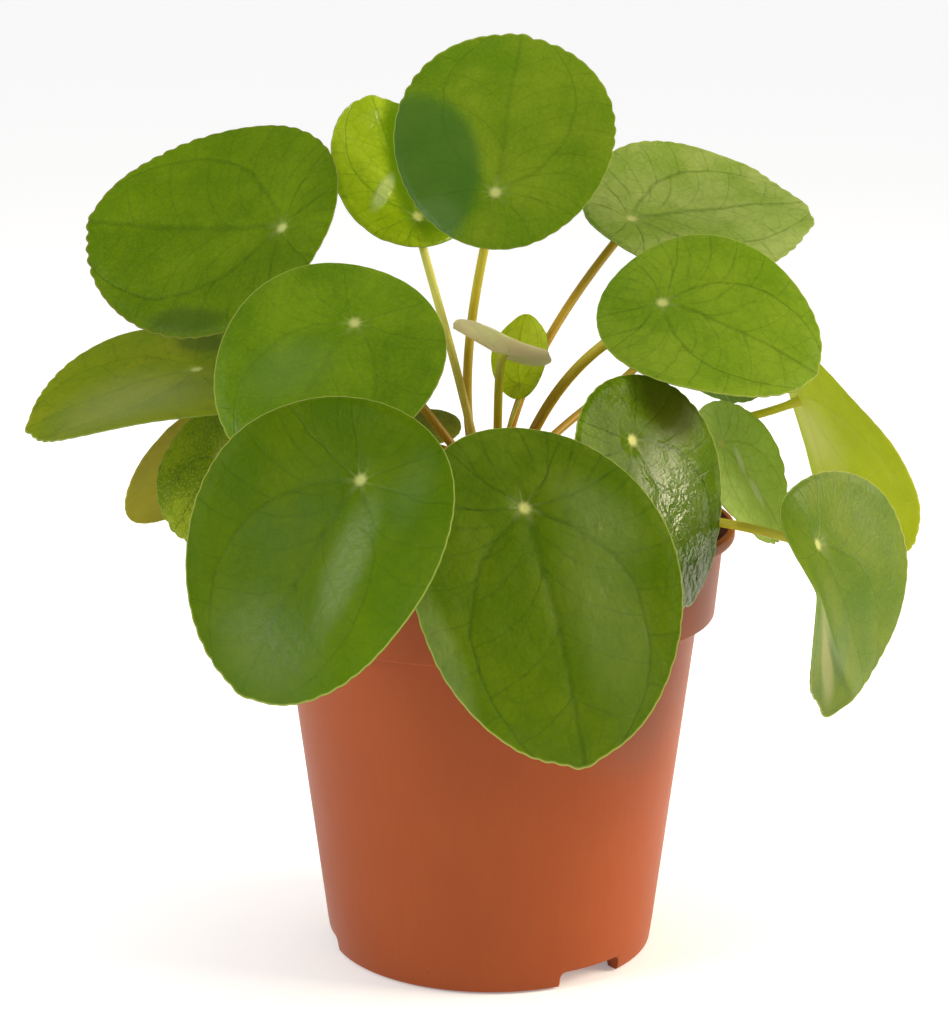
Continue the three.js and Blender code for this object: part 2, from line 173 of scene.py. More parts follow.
# %% Pot plastic: colour, gloss and skin
colour = linear("#8C411C")
# Of these tones, the last two are painted shade: a leaf's shadow on the front and the dark inside wall.
for share, tone in ((stains, "#974A20"), (streaked, "#873A1B"), (speckled, "#702C12"),
                    (painted_leaf_shadow, "#7A5040"), (inside_shade, "#3A1A10")):
    colour = add_node(tree, "Mix", {0: share, 6: colour, 7: linear(tone)}, **MIX_COLOURS)
satin = add_node(tree, "MapRange", {"Value": stains, "From Min": 0.3, "From Max": 0.7,
                                    "To Min": 0.38, "To Max": 0.48})
skin = add_node(tree, "Mix", {0: 0.5, 2: grain, 3: streaks}, data_type="FLOAT")
bump = add_node(tree, "Bump", {"Height": skin, "Strength": 0.10, "Distance": 0.12 * MM})
shader = add_node(tree, "BsdfPrincipled", {"Base Color": colour, "Roughness": satin, "IOR": 1.49,
                                           "Normal": bump, "Specular IOR Level": 0.16})
add_node(tree, "OutputMaterial", {"Surface": shader})
print("material:", pot_plastic.name, "with", len(tree.nodes), "nodes")

# %% [markdown]
# ## Modelling helpers
# Operators act on all that is selected, so each piece starts from an empty selection. One helper
# runs an operator on a whole mesh in edit mode, one applies a modifier as soon as it is added, and
# one gives a finished piece its material, its body and the solid that it stands for.

# %% Modelling helpers
def fresh():
    if bpy.context.object and bpy.context.object.mode != "OBJECT":
        bpy.ops.object.mode_set(mode="OBJECT")
    bpy.ops.object.select_all(action="DESELECT")


def only(obj):
    fresh()
    obj.select_set(True)
    bpy.context.view_layer.objects.active = obj


def on_whole_mesh(obj, operator, **settings):
    only(obj)
    bpy.ops.object.mode_set(mode="EDIT")
    bpy.ops.mesh.select_all(action="SELECT")
    operator(**settings)
    bpy.ops.object.mode_set(mode="OBJECT")


def faces_outward(obj):
    on_whole_mesh(obj, bpy.ops.mesh.normals_make_consistent, inside=False)


def shade_smooth(obj, degrees):
    only(obj)
    bpy.ops.object.shade_smooth_by_angle(angle=math.radians(degrees))


def apply_modifier(obj, kind, **settings):
    only(obj)
    modifier = obj.modifiers.new(kind.lower(), kind)
    for key, value in settings.items():
        setattr(modifier, key, value)
    bpy.ops.object.modifier_apply(modifier=modifier.name)


def finish_piece(obj, name, material, nodes=()):
    obj.name = name
    obj.data.name = name
    obj.data.materials.clear()
    obj.data.materials.append(material)
    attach(obj, "root")
    if nodes:
        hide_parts(*nodes)


print("helpers ready")

# %% [markdown]
# ## Turned pieces
# Pot, soil and trunk are round. A lathe would do, but growing them ring by ring keeps each
# station a pair of numbers that can be read: extrude the last ring, then scale it to its radius.
# The first ring is closed with a face, and the last one with a face or drawn into a point.

# %% Rings
def grow_rings(profile, segments, pointed=True):
    fresh()
    first_radius, first_height = profile[0]
    bpy.ops.mesh.primitive_circle_add(vertices=segments, radius=first_radius * MM,
                                      location=(0, 0, first_height * MM))
    piece = bpy.context.object
    bpy.ops.object.transform_apply(location=True)
    bpy.ops.object.mode_set(mode="EDIT")
    bpy.ops.mesh.select_all(action="SELECT")
    for (radius, height), (next_radius, next_height) in zip(profile, profile[1:]):
        rise = (next_height - height) * MM
        bpy.ops.mesh.extrude_region_move(TRANSFORM_OT_translate={"value": (0, 0, rise)})
        share = next_radius / radius
        bpy.ops.transform.resize(value=(share, share, 1), center_override=(0, 0, next_height * MM))
    if pointed:
        bpy.ops.mesh.merge(type="CENTER")
    else:
        bpy.ops.mesh.edge_face_add()
    bpy.ops.mesh.select_mode(type="VERT")
    bpy.ops.mesh.select_all(action="DESELECT")
    bpy.ops.object.mode_set(mode="OBJECT")
    for vertex in piece.data.vertices[:segments]:
        vertex.select = True
    bpy.ops.object.mode_set(mode="EDIT")
    bpy.ops.mesh.edge_face_add()
    faces_outward(piece)
    return piece


def rounding(centre_radius, centre_height, radius, start, end, steps):
    turn = [math.radians(start + (end - start) * k / steps) for k in range(steps + 1)]
    return [(centre_radius + radius * math.cos(a), centre_height + radius * math.sin(a)) for a in turn]


print("a rounded edge:", [tuple(round(c, 2) for c in spot) for spot in rounding(59, 107, 1, 0, 90, 2)])

# %% [markdown]
# ## The pot
# The pot is one thin shell: a tapered wall, a rim band that steps out and ends in a rolled lip,
# and a floor raised on a foot ring with notches that let water out. The notches and drain holes
# are cut with rounded blocks, and a fine bevel catches the light on every edge.

# %% Pot body
POT_SEGMENTS = 144
LIP_RADIUS = 60.0
LIP_INNER = 58.3
BAND_HIGH = 57.2
BAND_LOW = 55.4
BAND_HEIGHT = 85.2
WALL_TOP = 51.4
FOOT_RADIUS = 40.6
WALL = 1.2


def wall_radius(height):
    return FOOT_RADIUS + (WALL_TOP - FOOT_RADIUS) * height / BAND_HEIGHT


outside = [(13.0, 0.0), (15.4, 3.0), (36.2, 3.0), (37.0, 0.15), (37.35, 0.0), (39.2, 0.0)]
outside += rounding(39.6, 1.0, 1.0, -80, -8, 4)
outside += [(wall_radius(h), h) for h in (6, 14, 24, 36, 48, 60, 72, 80, 83.6)]
outside += [(WALL_TOP + 0.2, 84.7), (WALL_TOP + 0.9, 85.15), (BAND_LOW - 0.8, 85.3)]
outside += rounding(BAND_LOW - 0.6, 85.9, 0.6, -70, 0, 3)
outside += [(BAND_LOW + (BAND_HIGH - BAND_LOW) * (h - 86) / 18, h) for h in (89, 93, 97, 101, 103.4)]
outside += [(BAND_HIGH + 0.35, 104.1), (BAND_HIGH + 1.7, 104.35)]
outside += rounding(LIP_RADIUS - 1.0, 105.4, 1.0, -75, 0, 5)
outside += rounding(LIP_RADIUS - 0.75, 107.05, 0.75, 0, 90, 5)
outside += rounding(LIP_INNER + 0.6, 107.2, 0.6, 90, 180, 4)
inside = [(LIP_INNER - 0.4, 106.2), (57.0, 104.9), (BAND_HIGH - WALL + 0.2, 103.6),
          (BAND_HIGH - WALL - 0.1, 102.2), (BAND_LOW - WALL + 0.1, 87.6), (BAND_LOW - WALL - 0.5, 86.7),
          (WALL_TOP - WALL + 0.6, 86.4), (WALL_TOP - WALL, 85.6), (wall_radius(40) - WALL, 40),
          (wall_radius(7) - WALL, 7), (wall_radius(5) - WALL - 1.2, 4.7), (30, 4.6), (15, 4.6),
          (12.2, 1.6), (6, 1.6)]
pot = grow_rings(outside + inside, POT_SEGMENTS, pointed=False)
print("pot wall:", len(pot.data.vertices), "points,", len(outside), "stations outside")

# %% Notches and drain holes
NOTCH_MIDDLES = (37, -82, 157)
NOTCH_WIDTH = 26
NOTCH_HEIGHT = 4.0
NOTCH_CORNER = 1.5
FOOT_MIDDLE = 39.5
DRAINS = 6
DRAIN_CIRCLE = 27
DRAIN_RADIUS = 3.5
EDGE_BEVEL = 0.22

cutters = []
notch_width = 2 * FOOT_RADIUS * math.sin(math.radians(NOTCH_WIDTH / 2))
for middle in NOTCH_MIDDLES:
    fresh()
    bpy.ops.mesh.primitive_cube_add(size=1)
    block = bpy.context.object
    block.scale = (notch_width * MM, 12 * MM, 2 * NOTCH_HEIGHT * MM)
    bpy.ops.object.transform_apply(scale=True)
    apply_modifier(block, "BEVEL", width=NOTCH_CORNER * MM, segments=4)
    block.location = (0, -FOOT_MIDDLE * MM, 0)
    bpy.ops.object.transform_apply(location=True)
    block.data.transform(Matrix.Rotation(math.radians(middle), 4, "Z"))
    cutters.append(block)
for k in range(DRAINS):
    angle = (k + 0.5) * 2 * math.pi / DRAINS
    fresh()
    at = (DRAIN_CIRCLE * MM * math.cos(angle), DRAIN_CIRCLE * MM * math.sin(angle), 3.8 * MM)
    bpy.ops.mesh.primitive_cylinder_add(vertices=28, radius=DRAIN_RADIUS * MM, depth=6 * MM, location=at)
    bpy.ops.object.transform_apply(location=True)
    cutters.append(bpy.context.object)
for cutter in cutters:
    apply_modifier(pot, "BOOLEAN", object=cutter, operation="DIFFERENCE", solver="EXACT")
    bpy.data.objects.remove(cutter)
on_whole_mesh(pot, bpy.ops.mesh.remove_doubles, threshold=0.00001)
apply_modifier(pot, "BEVEL", width=EDGE_BEVEL * MM, segments=2, limit_method="ANGLE",
               angle_limit=math.radians(50))
shade_smooth(pot, 32)
finish_piece(pot, "pot_shell", pot_plastic, ("pot",))
print("pot:", len(pot.data.polygons), "faces,", len(NOTCH_MIDDLES), "notches,", DRAINS, "drain holes")

# %% [markdown]
# ## Potting soil
# Potting mix is dark peat with bits of bark. Its surface is a low relief of lumps with loose
# crumbs on top. The body is a closed plug with a displaced top; the crumbs are a few hundred
# small rough stones of one mesh, each turned and scaled by a seeded draw.

# %% Soil material
CRUMB_MM = 2.2
BARK_BIT_MM = 1.3

soil_mix, tree = new_material("peat_potting_mix")
place = add_node(tree, "TexCoord", output="Object")
lumps = add_node(tree, "TexNoise", {"Vector": place, "Scale": 1 / (CRUMB_MM * MM), "Detail": 6.0,
                                    "Roughness": 0.65})
bits = add_node(tree, "TexVoronoi", {"Vector": place, "Scale": 1 / (BARK_BIT_MM * MM)}, output="Color")
bit_value = add_node(tree, "SeparateColor", {"Color": bits})
pale_bit = add_node(tree, "MapRange", {"Value": bit_value, "From Min": 0.86, "From Max": 0.97,
                                       "To Max": 0.7})
colour = linear("#1E140D")
for share, tone in ((lumps, "#57412E"), (pale_bit, "#7A5A3C")):
    colour = add_node(tree, "Mix", {0: share, 6: colour, 7: linear(tone)}, **MIX_COLOURS)
bump = add_node(tree, "Bump", {"Height": lumps, "Strength": 0.9, "Distance": 1.2 * MM})
shader = add_node(tree, "BsdfPrincipled", {"Base Color": colour, "Roughness": 0.95, "IOR": 1.5,
                                           "Normal": bump, "Specular IOR Level": 0.25})
add_node(tree, "OutputMaterial", {"Surface": shader})
print("material:", soil_mix.name)

# %% Soil body
SOIL_TOP = 98.0
SOIL_SWELL = 0.9
SOIL_RADIUS = BAND_LOW - 1.1


def soil_height(x, y):
    lumps = math.sin(x / 7.3 + 1.1) * math.cos(y / 6.1) + 0.6 * math.sin((x + y) / 4.7)
    return SOIL_TOP + SOIL_SWELL * lumps


soil_profile = [(wall_radius(5) - 2.1, 5.2), (WALL_TOP - 1.5, 86.2), (BAND_LOW - 1.6, 86.9),
                (SOIL_RADIUS, SOIL_TOP)]
soil_profile += [(radius, SOIL_TOP) for radius in range(53, 1, -2)]
soil = grow_rings(soil_profile, 96)
for vertex in soil.data.vertices:
    x, y, z = (c / MM for c in vertex.co)
    if z > SOIL_TOP - 1:
        fine = noise.noise(Vector((x / 2.6, y / 2.6, 0))) * 0.7
        fine += noise.noise(Vector((x / 1.1, y / 1.1, 5))) * 0.35
        near_wall = min(1.0, (SOIL_RADIUS - math.hypot(x, y)) / 3)
        vertex.co.z = (soil_height(x, y) + fine * near_wall) * MM
shade_smooth(soil, 60)
finish_piece(soil, "soil_body", soil_mix, ("soil",))
print("soil:", len(soil.data.polygons), "faces")

# %% Loose crumbs
CRUMBS = 520
CRUMB_REACH = 52.5
TRUNK_X = 1.0
TRUNK_CLEAR = 5.5

crumb_draw = random.Random(11)
fresh()
bpy.ops.mesh.primitive_ico_sphere_add(subdivisions=2, radius=1.0)
crumb = bpy.context.object
for vertex in crumb.data.vertices:
    vertex.co *= 1 + 0.45 * noise.noise(vertex.co * 1.3 + Vector((3, 1, 7)))
copies = []
for _ in range(CRUMBS):
    reach = CRUMB_REACH * math.sqrt(crumb_draw.random())
    angle = crumb_draw.uniform(0, 2 * math.pi)
    x, y = reach * math.cos(angle), reach * math.sin(angle)
    if math.hypot(x - TRUNK_X, y) < TRUNK_CLEAR:
        continue
    size = crumb_draw.uniform(0.35, 1.5) * crumb_draw.uniform(0.6, 1.0)
    spread = [size * crumb_draw.uniform(0.7, 1.4) for _ in range(3)]
    spin = crumb_draw.uniform(0, 6.28)
    turn = Matrix.Rotation(spin, 4, Vector((crumb_draw.random(), 1, 0.5)).normalized())
    bit = bpy.data.objects.new("crumb", crumb.data.copy())
    bpy.context.scene.collection.objects.link(bit)
    where = Vector((x, y, soil_height(x, y) + size * 0.3)) * MM
    bit.data.transform(Matrix.Translation(where) @ turn @ Matrix.Diagonal((*spread, 1000)) * MM)
    copies.append(bit)
bpy.data.objects.remove(crumb)
fresh()
for bit in copies:
    bit.select_set(True)
bpy.context.view_layer.objects.active = copies[0]
bpy.ops.object.join()
finish_piece(bpy.context.object, "soil_crumbs", soil_mix)
print("crumbs:", len(copies))

# %% [markdown]
# ## The trunk
# The short trunk is the scar-ringed stem of a young plant: each old leaf leaves a raised ring. It
# is grown ring by ring like the pot, out of round by a slow noise, and crowned by the bud that
# the smallest leaves come from. The skin is corky and brown below and still green near the bud.

# %% Trunk material
BARK_MM = 0.9
OLD_BELOW = 104
YOUNG_ABOVE = 124

trunk_bark, tree = new_material("corky_green_stem")
place = add_node(tree, "TexCoord", output="Object")
up = add_node(tree, "SeparateXYZ", {"Vector": place}, output=2)
up = add_node(tree, "MapRange", {"Value": up, "From Min": OLD_BELOW * MM, "From Max": YOUNG_ABOVE * MM})
bark_place = add_node(tree, "Mapping", {"Vector": place, "Scale": (1, 1, 0.35)})
cork = add_node(tree, "TexNoise", {"Vector": bark_place, "Scale": 1 / (BARK_MM * MM),
                                   "Detail": 5.0, "Roughness": 0.6})
old_skin, young_skin = (
    add_node(tree, "Mix", {0: cork, 6: linear(dark), 7: linear(pale)}, **MIX_COLOURS)
    for dark, pale in (("#3E2E1C", "#84694A"), ("#55601F", "#8C9440")))
colour = add_node(tree, "Mix", {0: up, 6: old_skin, 7: young_skin}, **MIX_COLOURS)
bump = add_node(tree, "Bump", {"Height": cork, "Strength": 0.6, "Distance": 0.4 * MM})
shader = add_node(tree, "BsdfPrincipled", {"Base Color": colour, "Roughness": 0.62, "Normal": bump})
add_node(tree, "OutputMaterial", {"Surface": shader})
print("material:", trunk_bark.name, "brown up to", OLD_BELOW, "mm")

# %% Trunk body
TRUNK_FOOT = 56.5
TRUNK_SHOULDER = 119.0
TRUNK_TIP = 126.3
TRUNK_LOW = 4.65
TRUNK_HIGH = 3.65
SCAR_PITCH = 6.3
SCAR = 0.25
RING_PITCH = 0.9

trunk_profile = [(0.8, TRUNK_FOOT)]
rings = int((TRUNK_SHOULDER - TRUNK_FOOT) / RING_PITCH)
for k in range(rings + 1):
    height = TRUNK_FOOT + 0.8 + (TRUNK_SHOULDER - TRUNK_FOOT - 0.8) * k / rings
    share = (height - TRUNK_FOOT) / (TRUNK_SHOULDER - TRUNK_FOOT)
    radius = TRUNK_LOW + (TRUNK_HIGH - TRUNK_LOW) * share
    scar = max(0.0, math.cos(2 * math.pi * (height - TRUNK_FOOT) / SCAR_PITCH)) ** 6
    trunk_profile.append((radius + SCAR * (scar - 0.4), height))
for k in range(1, 9):
    turn = math.radians(90 * k / 8)
    crown = TRUNK_HIGH * math.cos(turn) + 0.25
    trunk_profile.append((crown, TRUNK_SHOULDER + (TRUNK_TIP - TRUNK_SHOULDER) * math.sin(turn)))
trunk = grow_rings(trunk_profile, 40)
for vertex in trunk.data.vertices:
    x, y, z = (c / MM for c in vertex.co)
    swell = 1 + 0.05 * noise.noise(Vector((x / 4, y / 4, z / 9)))
    vertex.co.x = (x * swell + TRUNK_X) * MM
    vertex.co.y = y * swell * MM
shade_smooth(trunk, 60)
finish_piece(trunk, "trunk_stem", trunk_bark, ("trunk",))
print("trunk:", len(trunk.data.polygons), "faces")

# %% [markdown]
# ## The leaves' places
# Every blade is a nearly round sheet. Its hub, the point where the stalk joins it, lies inside
# the outline, and all its veins start there. Lengths are in mm and angles in degrees. The face
# tilts from straight up towards its facing, counted from the camera round to the right, and the
# tip turns away from downhill. Inset is the share of the length behind the hub, egg narrows the
# tip, cup domes the blade, and bend, wave and fold shape it along the direction each one holds. A
# stalk starts at a direction, a distance from the trunk's axis and a height, and leaves at its
# rise; reach and arrival are the lengths of its curve's two handles, as shares of its own. The
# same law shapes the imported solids.

# %% Leaf table
LEAVES = [
    dict(hub=[1, 2, 188], tilt=61, facing=-4, turn=174, long=58.5, wide=54, inset=0.25, egg=-0.06,
         cup=0.04, bend=[0.02, -80], wave=[0.01, -39],
         stalk=[-128, 3.8, 115], rise=64, reach=0.41, arrival=0.12, diameter=2.5),
    dict(hub=[-18, 24, 180], tilt=52, facing=26, turn=-172, long=43, wide=37.5, inset=0.21, egg=0.07,
         cup=-0.02, bend=[0.07, -17], wave=[0.01, 57],
         stalk=[-64, 3.6, 117.5], rise=79, reach=0.43, arrival=0.05, diameter=2.3),
    dict(hub=[-51, 7, 179], tilt=50, facing=-35, turn=-83, long=70, wide=63, inset=0.21, egg=0.12,
         cup=-0.03, bend=[0.04, 4], wave=[0.01, 4],
         stalk=[-98, 2, 110], rise=44, reach=0.45, arrival=0.08, diameter=2.5),
    dict(hub=[-73, 12, 143.5], tilt=17, facing=-23, turn=-55, long=68, wide=64, inset=0.36, egg=0.07,
         cup=0.04, bend=[0.07, -69], wave=[0.05, 45],
         stalk=[-106, 2, 106], rise=40, reach=0.45, arrival=0.1, diameter=2.4),
    dict(hub=[-32, -22, 160], tilt=46, facing=-3, turn=-28, long=58, wide=52.5, inset=0.28, egg=0.08,
         cup=0.05, bend=[0.05, -87], wave=[0.01, -32],
         stalk=[-44, 3.2, 113], rise=58, reach=0.43, arrival=0.1, diameter=2.4),
    dict(hub=[-28.5, -80, 134.5], tilt=58, facing=-27, turn=-22, long=69, wide=63.5, inset=0.25, egg=0.06,
         cup=-0.03, bend=[0.14, -90], wave=[0, 0],
         stalk=[-25, 2, 107.5], rise=36, reach=0.45, arrival=0.14, diameter=2.5),
    dict(hub=[7, -74, 127], tilt=54, facing=21, turn=5, long=75, wide=61.5, inset=0.27, egg=0.02,
         cup=0.06, bend=[0.13, -79], wave=[0.03, 17],
         stalk=[12, 2, 106.5], rise=34, reach=0.45, arrival=0.16, diameter=2.5),
    dict(hub=[-67, -1, 123.5], tilt=67, facing=-52, turn=-24, long=39.5, wide=38, inset=0.42, egg=0.03,
         cup=0, bend=[0.08, 51], wave=[0.04, 38],
         stalk=[-88, 2, 102], rise=34, reach=0.45, arrival=0.12, diameter=2.2),
    dict(hub=[-78, 46, 109.5], tilt=59, facing=-130, turn=135, long=44.5, wide=42, inset=0.28, egg=0.04,
         cup=0.05, bend=[0.05, -70], wave=[0.01, 11],
         stalk=[-116, 2, 101], rise=38, reach=0.45, arrival=0.15, diameter=2.2),
    dict(hub=[35.5, 25, 179.5], tilt=27, facing=12, turn=97, long=57.5, wide=56.5, inset=0.2, egg=0.03,
         cup=-0.04, bend=[0.08, -62], wave=[0.07, 28],
         stalk=[135, 3.2, 118.5], rise=87, reach=0.42, arrival=0.03, diameter=2.4),
    dict(hub=[40, -20, 164.5], tilt=38, facing=-3, turn=66, long=53, wide=49.5, inset=0.27, egg=0.07,
         cup=0.02, bend=[0.1, 86], wave=[0.02, 40],
         stalk=[74, 3.6, 114], rise=74, reach=0.68, arrival=0.11, diameter=2.9),
    dict(hub=[32, -46, 136.5], tilt=68, facing=43, turn=21, long=56, wide=47.5, inset=0.26, egg=0.07,
         cup=0.06, bend=[0.1, 81], wave=[0.01, 26],
         stalk=[35, 2, 111.5], rise=48, reach=0.45, arrival=0.15, diameter=2.3),
    dict(hub=[59.5, 28, 121.5], tilt=61, facing=48, turn=29, long=41, wide=37, inset=0.25, egg=0.08,
         cup=0.02, bend=[0.08, 58], wave=[0.04, -51],
         stalk=[88, 2, 105.5], rise=40, reach=0.45, arrival=0.15, diameter=2.2),
    dict(hub=[83.5, 56, 128], tilt=67, facing=98, turn=-45, long=76, wide=71, inset=0.31, egg=0.04,
         cup=-0.02, bend=[0.11, 33], wave=[0.03, 13],
         stalk=[116, 2.4, 108.5], rise=31, reach=0.36, arrival=0.19, diameter=2.4),
    dict(hub=[76.2, -35.7, 109.8], tilt=68, facing=60, turn=15, long=52, wide=65, inset=0.28, egg=-0.01,
         cup=-0.06, bend=[0.175, 84.5], wave=[0.055, -27.5], fold=[58, 23, 46, 4.4],
         stalk=[71, 2, 104], rise=20, reach=0.56, arrival=0.03, diameter=2.4),
    dict(hub=[3, -15, 152], tilt=28, facing=132, turn=-172, long=26.5, wide=24, inset=0.39, egg=0.17,
         cup=-0.09, bend=[0.04, 82], wave=[0.03, -11],
         stalk=[10, 2.4, 121], rise=80, reach=0.4, arrival=0.12, diameter=2.3),
    dict(hub=[6.5, -4, 142], tilt=77, facing=-44, turn=-168, long=19.5, wide=18, inset=0.18, egg=-0.12,
         cup=0.03, bend=[0.04, -71], wave=[0.01, 51],
         stalk=[60, 1.6, 122], rise=86, reach=0.4, arrival=0.15, diameter=1.2),
    dict(hub=[-20, 34, 124], tilt=9, facing=-12, turn=-100, long=37, wide=35, inset=0.33, egg=0.05,
         cup=0.04, bend=[0.03, 80], wave=[0.02, 0],
         stalk=[-172, 2, 112.5], rise=44, reach=0.45, arrival=0.15, diameter=2.2),
    dict(hub=[-54, 68, 150], tilt=35, facing=-120, turn=10, long=60, wide=55, inset=0.28, egg=0.06,
         cup=0.04, bend=[0.06, 85], wave=[0.02, 20],
         stalk=[-138, 2, 105.5], rise=5, reach=0.78, arrival=0.15, diameter=2.4),
    dict(hub=[46, 58, 148], tilt=34, facing=142, turn=-8, long=50, wide=46, inset=0.28, egg=0.05,
         cup=0.04, bend=[0.07, -85], wave=[0.02, -20],
         stalk=[145, 2, 113], rise=32, reach=0.5, arrival=0.25, diameter=2.3),
    dict(hub=[-36, 76, 112], tilt=74, facing=-150, turn=6, long=54, wide=50, inset=0.28, egg=0.06,
         cup=0.05, bend=[0.07, 85], wave=[0.03, 10],
         stalk=[-152, 2, 107], rise=38, reach=0.5, arrival=0.2, diameter=2.3),
    dict(hub=[1, 84, 103], tilt=100, facing=-175, turn=-5, long=48, wide=44, inset=0.22, egg=0.05,
         cup=0.05, bend=[0.08, 88], wave=[0.02, 0],
         stalk=[174, 2, 104], rise=56, reach=0.5, arrival=0.18, diameter=2.3),
    dict(hub=[45, 70, 104], tilt=76, facing=140, turn=5, long=48, wide=44, inset=0.26, egg=0.06,
         cup=0.04, bend=[0.06, -80], wave=[0.03, 40],
         stalk=[142, 2, 102], rise=50, reach=0.6, arrival=0.2, diameter=2.3),
]
print("leaves:", len(LEAVES))

# %% Leaf frame and blade law
def heading(degrees):
    angle = math.radians(degrees)
    return Vector((math.sin(angle), -math.cos(angle), 0))


def blade_frame(leaf):
    tilt, turn = math.radians(leaf["tilt"]), math.radians(leaf["turn"])
    out, upward = heading(leaf["facing"]), Vector((0, 0, 1))
    face = upward * math.cos(tilt) + out * math.sin(tilt)
    down = out * math.cos(tilt) - upward * math.sin(tilt)
    side = face.cross(down)
    tip = down * math.cos(turn) + side * math.sin(turn)
    return tip.cross(face), tip, face


def tip_reach(leaf):
    return leaf["long"] * (1 - leaf["inset"])


def flat_blade(leaf, share, angle):
    x = share * leaf["wide"] / 2 * np.sin(angle) * (1 - leaf["egg"] * np.cos(angle))
    y = share * leaf["long"] * (0.5 - leaf["inset"] + 0.5 * np.cos(angle))
    return x, y


def blade_lift(leaf, x, y):
    reach = (x ** 2 + y ** 2) / (leaf["long"] / 2) ** 2
    around = np.arctan2(x, y)
    bend, bend_at = leaf["bend"]
    wave, wave_at = leaf["wave"]
    curl = bend * np.cos(2 * (around - math.radians(bend_at)))
    curl += wave * np.cos(3 * (around - math.radians(wave_at)))
    return leaf["long"] / 2 * reach * (curl - leaf["cup"])


print("first leaf faces", [round(c, 2) for c in blade_frame(LEAVES[0])[2]])

# %% [markdown]
# ## Leaf stalks
# The stalks are smooth, juicy and faintly see-through: reddish brown where they leave the trunk,
# green or straw coloured towards the blade. Each is a Bezier curve of two points, subdivided so
# that its thickness can swell at both ends, given a round bevel and turned into a mesh. How far
# along each point lies is kept as an attribute, which the material reads.

# %% Stalk materials
STALK_STREAK_MM = 1.6


def stalk_material(name, base, middle, top, gloss):
    material, tree = new_material(name)
    along = add_node(tree, "Attribute", output="Fac", attribute_name="along")
    place = add_node(tree, "TexCoord", output="Object")
    streaks = add_node(tree, "TexNoise", {"Vector": place, "Scale": 1 / (STALK_STREAK_MM * MM),
                                          "Detail": 3.0})
    shift = add_node(tree, "Math", {0: streaks, 1: 0.22, 2: along}, operation="MULTIPLY_ADD")
    shift = add_node(tree, "Math", {0: shift, 1: 0.11}, operation="SUBTRACT")
    colour = add_node(tree, "ValToRGB", {"Fac": shift})
    stops = colour.node.color_ramp.elements
    stops[0].position, stops[0].color = 0.0, linear(base)
    stops[1].position, stops[1].color = 1.0, linear(top)
    stops.new(0.45).color = linear(middle)
    dull = add_node(tree, "MapRange", {"Value": streaks, "From Min": 0.3, "From Max": 0.7,
                                       "To Min": gloss, "To Max": gloss + 0.12})
    bump = add_node(tree, "Bump", {"Height": streaks, "Strength": 0.15, "Distance": 0.2 * MM})
    shader = add_node(tree, "BsdfPrincipled",
                      {"Base Color": colour, "Roughness": dull, "Normal": bump, "IOR": 1.42,
                       "Coat Weight": 0.15, "Coat Roughness": 0.2})
    glow = add_node(tree, "BsdfTranslucent", {"Color": colour})
    mixed = add_node(tree, "MixShader", {0: 0.35, 1: shader, 2: glow})
    add_node(tree, "OutputMaterial", {"Surface": mixed})
    return material


# The stalk colours are painted lighter than the stalks' own, to make up for the shade they lie in among
# the leaves.
STALK_SKINS = dict(
    brown=stalk_material("stalk_skin_brown", "#BC8422", "#CCAA36", "#D2BC40", 0.34),
    green=stalk_material("stalk_skin_green", "#C89828", "#D2C638", "#D8D84C", 0.32),
    straw=stalk_material("stalk_skin_straw", "#D6B84C", "#E4E070", "#EAEA94", 0.32),
    olive=stalk_material("stalk_skin_olive", "#C0902A", "#CCBC34", "#D4D044", 0.34),
)
print("stalk skins:", sorted(STALK_SKINS))

# %% Stalk paths
HUB_DIMPLE = 0.8


def stalk_points(leaf):
    direction, distance, height = leaf["stalk"]
    out, upward = heading(direction), Vector((0, 0, 1))
    face = blade_frame(leaf)[2]
    root = Vector((TRUNK_X, 0, height)) + out * distance
    end = Vector(leaf["hub"]) - face * (HUB_DIMPLE + 0.1)
    length = (end - root).length
    rise = math.radians(leaf["rise"])
    leave = out * math.cos(rise) + upward * math.sin(rise)
    first = root + leave * leaf["reach"] * length
    second = end - face * leaf["arrival"] * length
    return root, first, second, end


def swelling(share, diameter):
    foot = 0.35 * math.exp(-((share / 0.05) ** 2))
    neck = 0.30 * math.exp(-(((1 - share) / 0.018) ** 2))
    return diameter / 2 * (0.92 + foot + neck)


# How far along its middle line each point of a stalk lies, from 0 at the root to 1 at the hub.
def shares_along(mesh, path, steps=200):
    root, first, second, end = (np.array(point) * MM for point in path)
    t = np.linspace(0, 1, steps)[:, None]
    line = ((1 - t) ** 3 * root + 3 * (1 - t) ** 2 * t * first + 3 * (1 - t) * t ** 2 * second
            + t ** 3 * end)
    spots = np.array([v.co[:] for v in mesh.vertices])
    nearest = np.argmin(((spots[:, None] - line[None]) ** 2).sum(2), axis=1)
    return (nearest / (steps - 1)).astype(np.float32)


print("first stalk runs from", [round(c, 1) for c in stalk_points(LEAVES[0])[0]])

# %% Stalks
STALK_CUTS = 14
STALK_SKIN_OF = dict(enumerate(
    ["olive", "straw", "green", "olive", "brown", "olive", "olive", "brown", "olive", "brown",
     "olive", "brown", "olive", "green", "green", "green", "straw", "brown", "olive", "brown",
     "brown", "brown", "brown"], start=1))

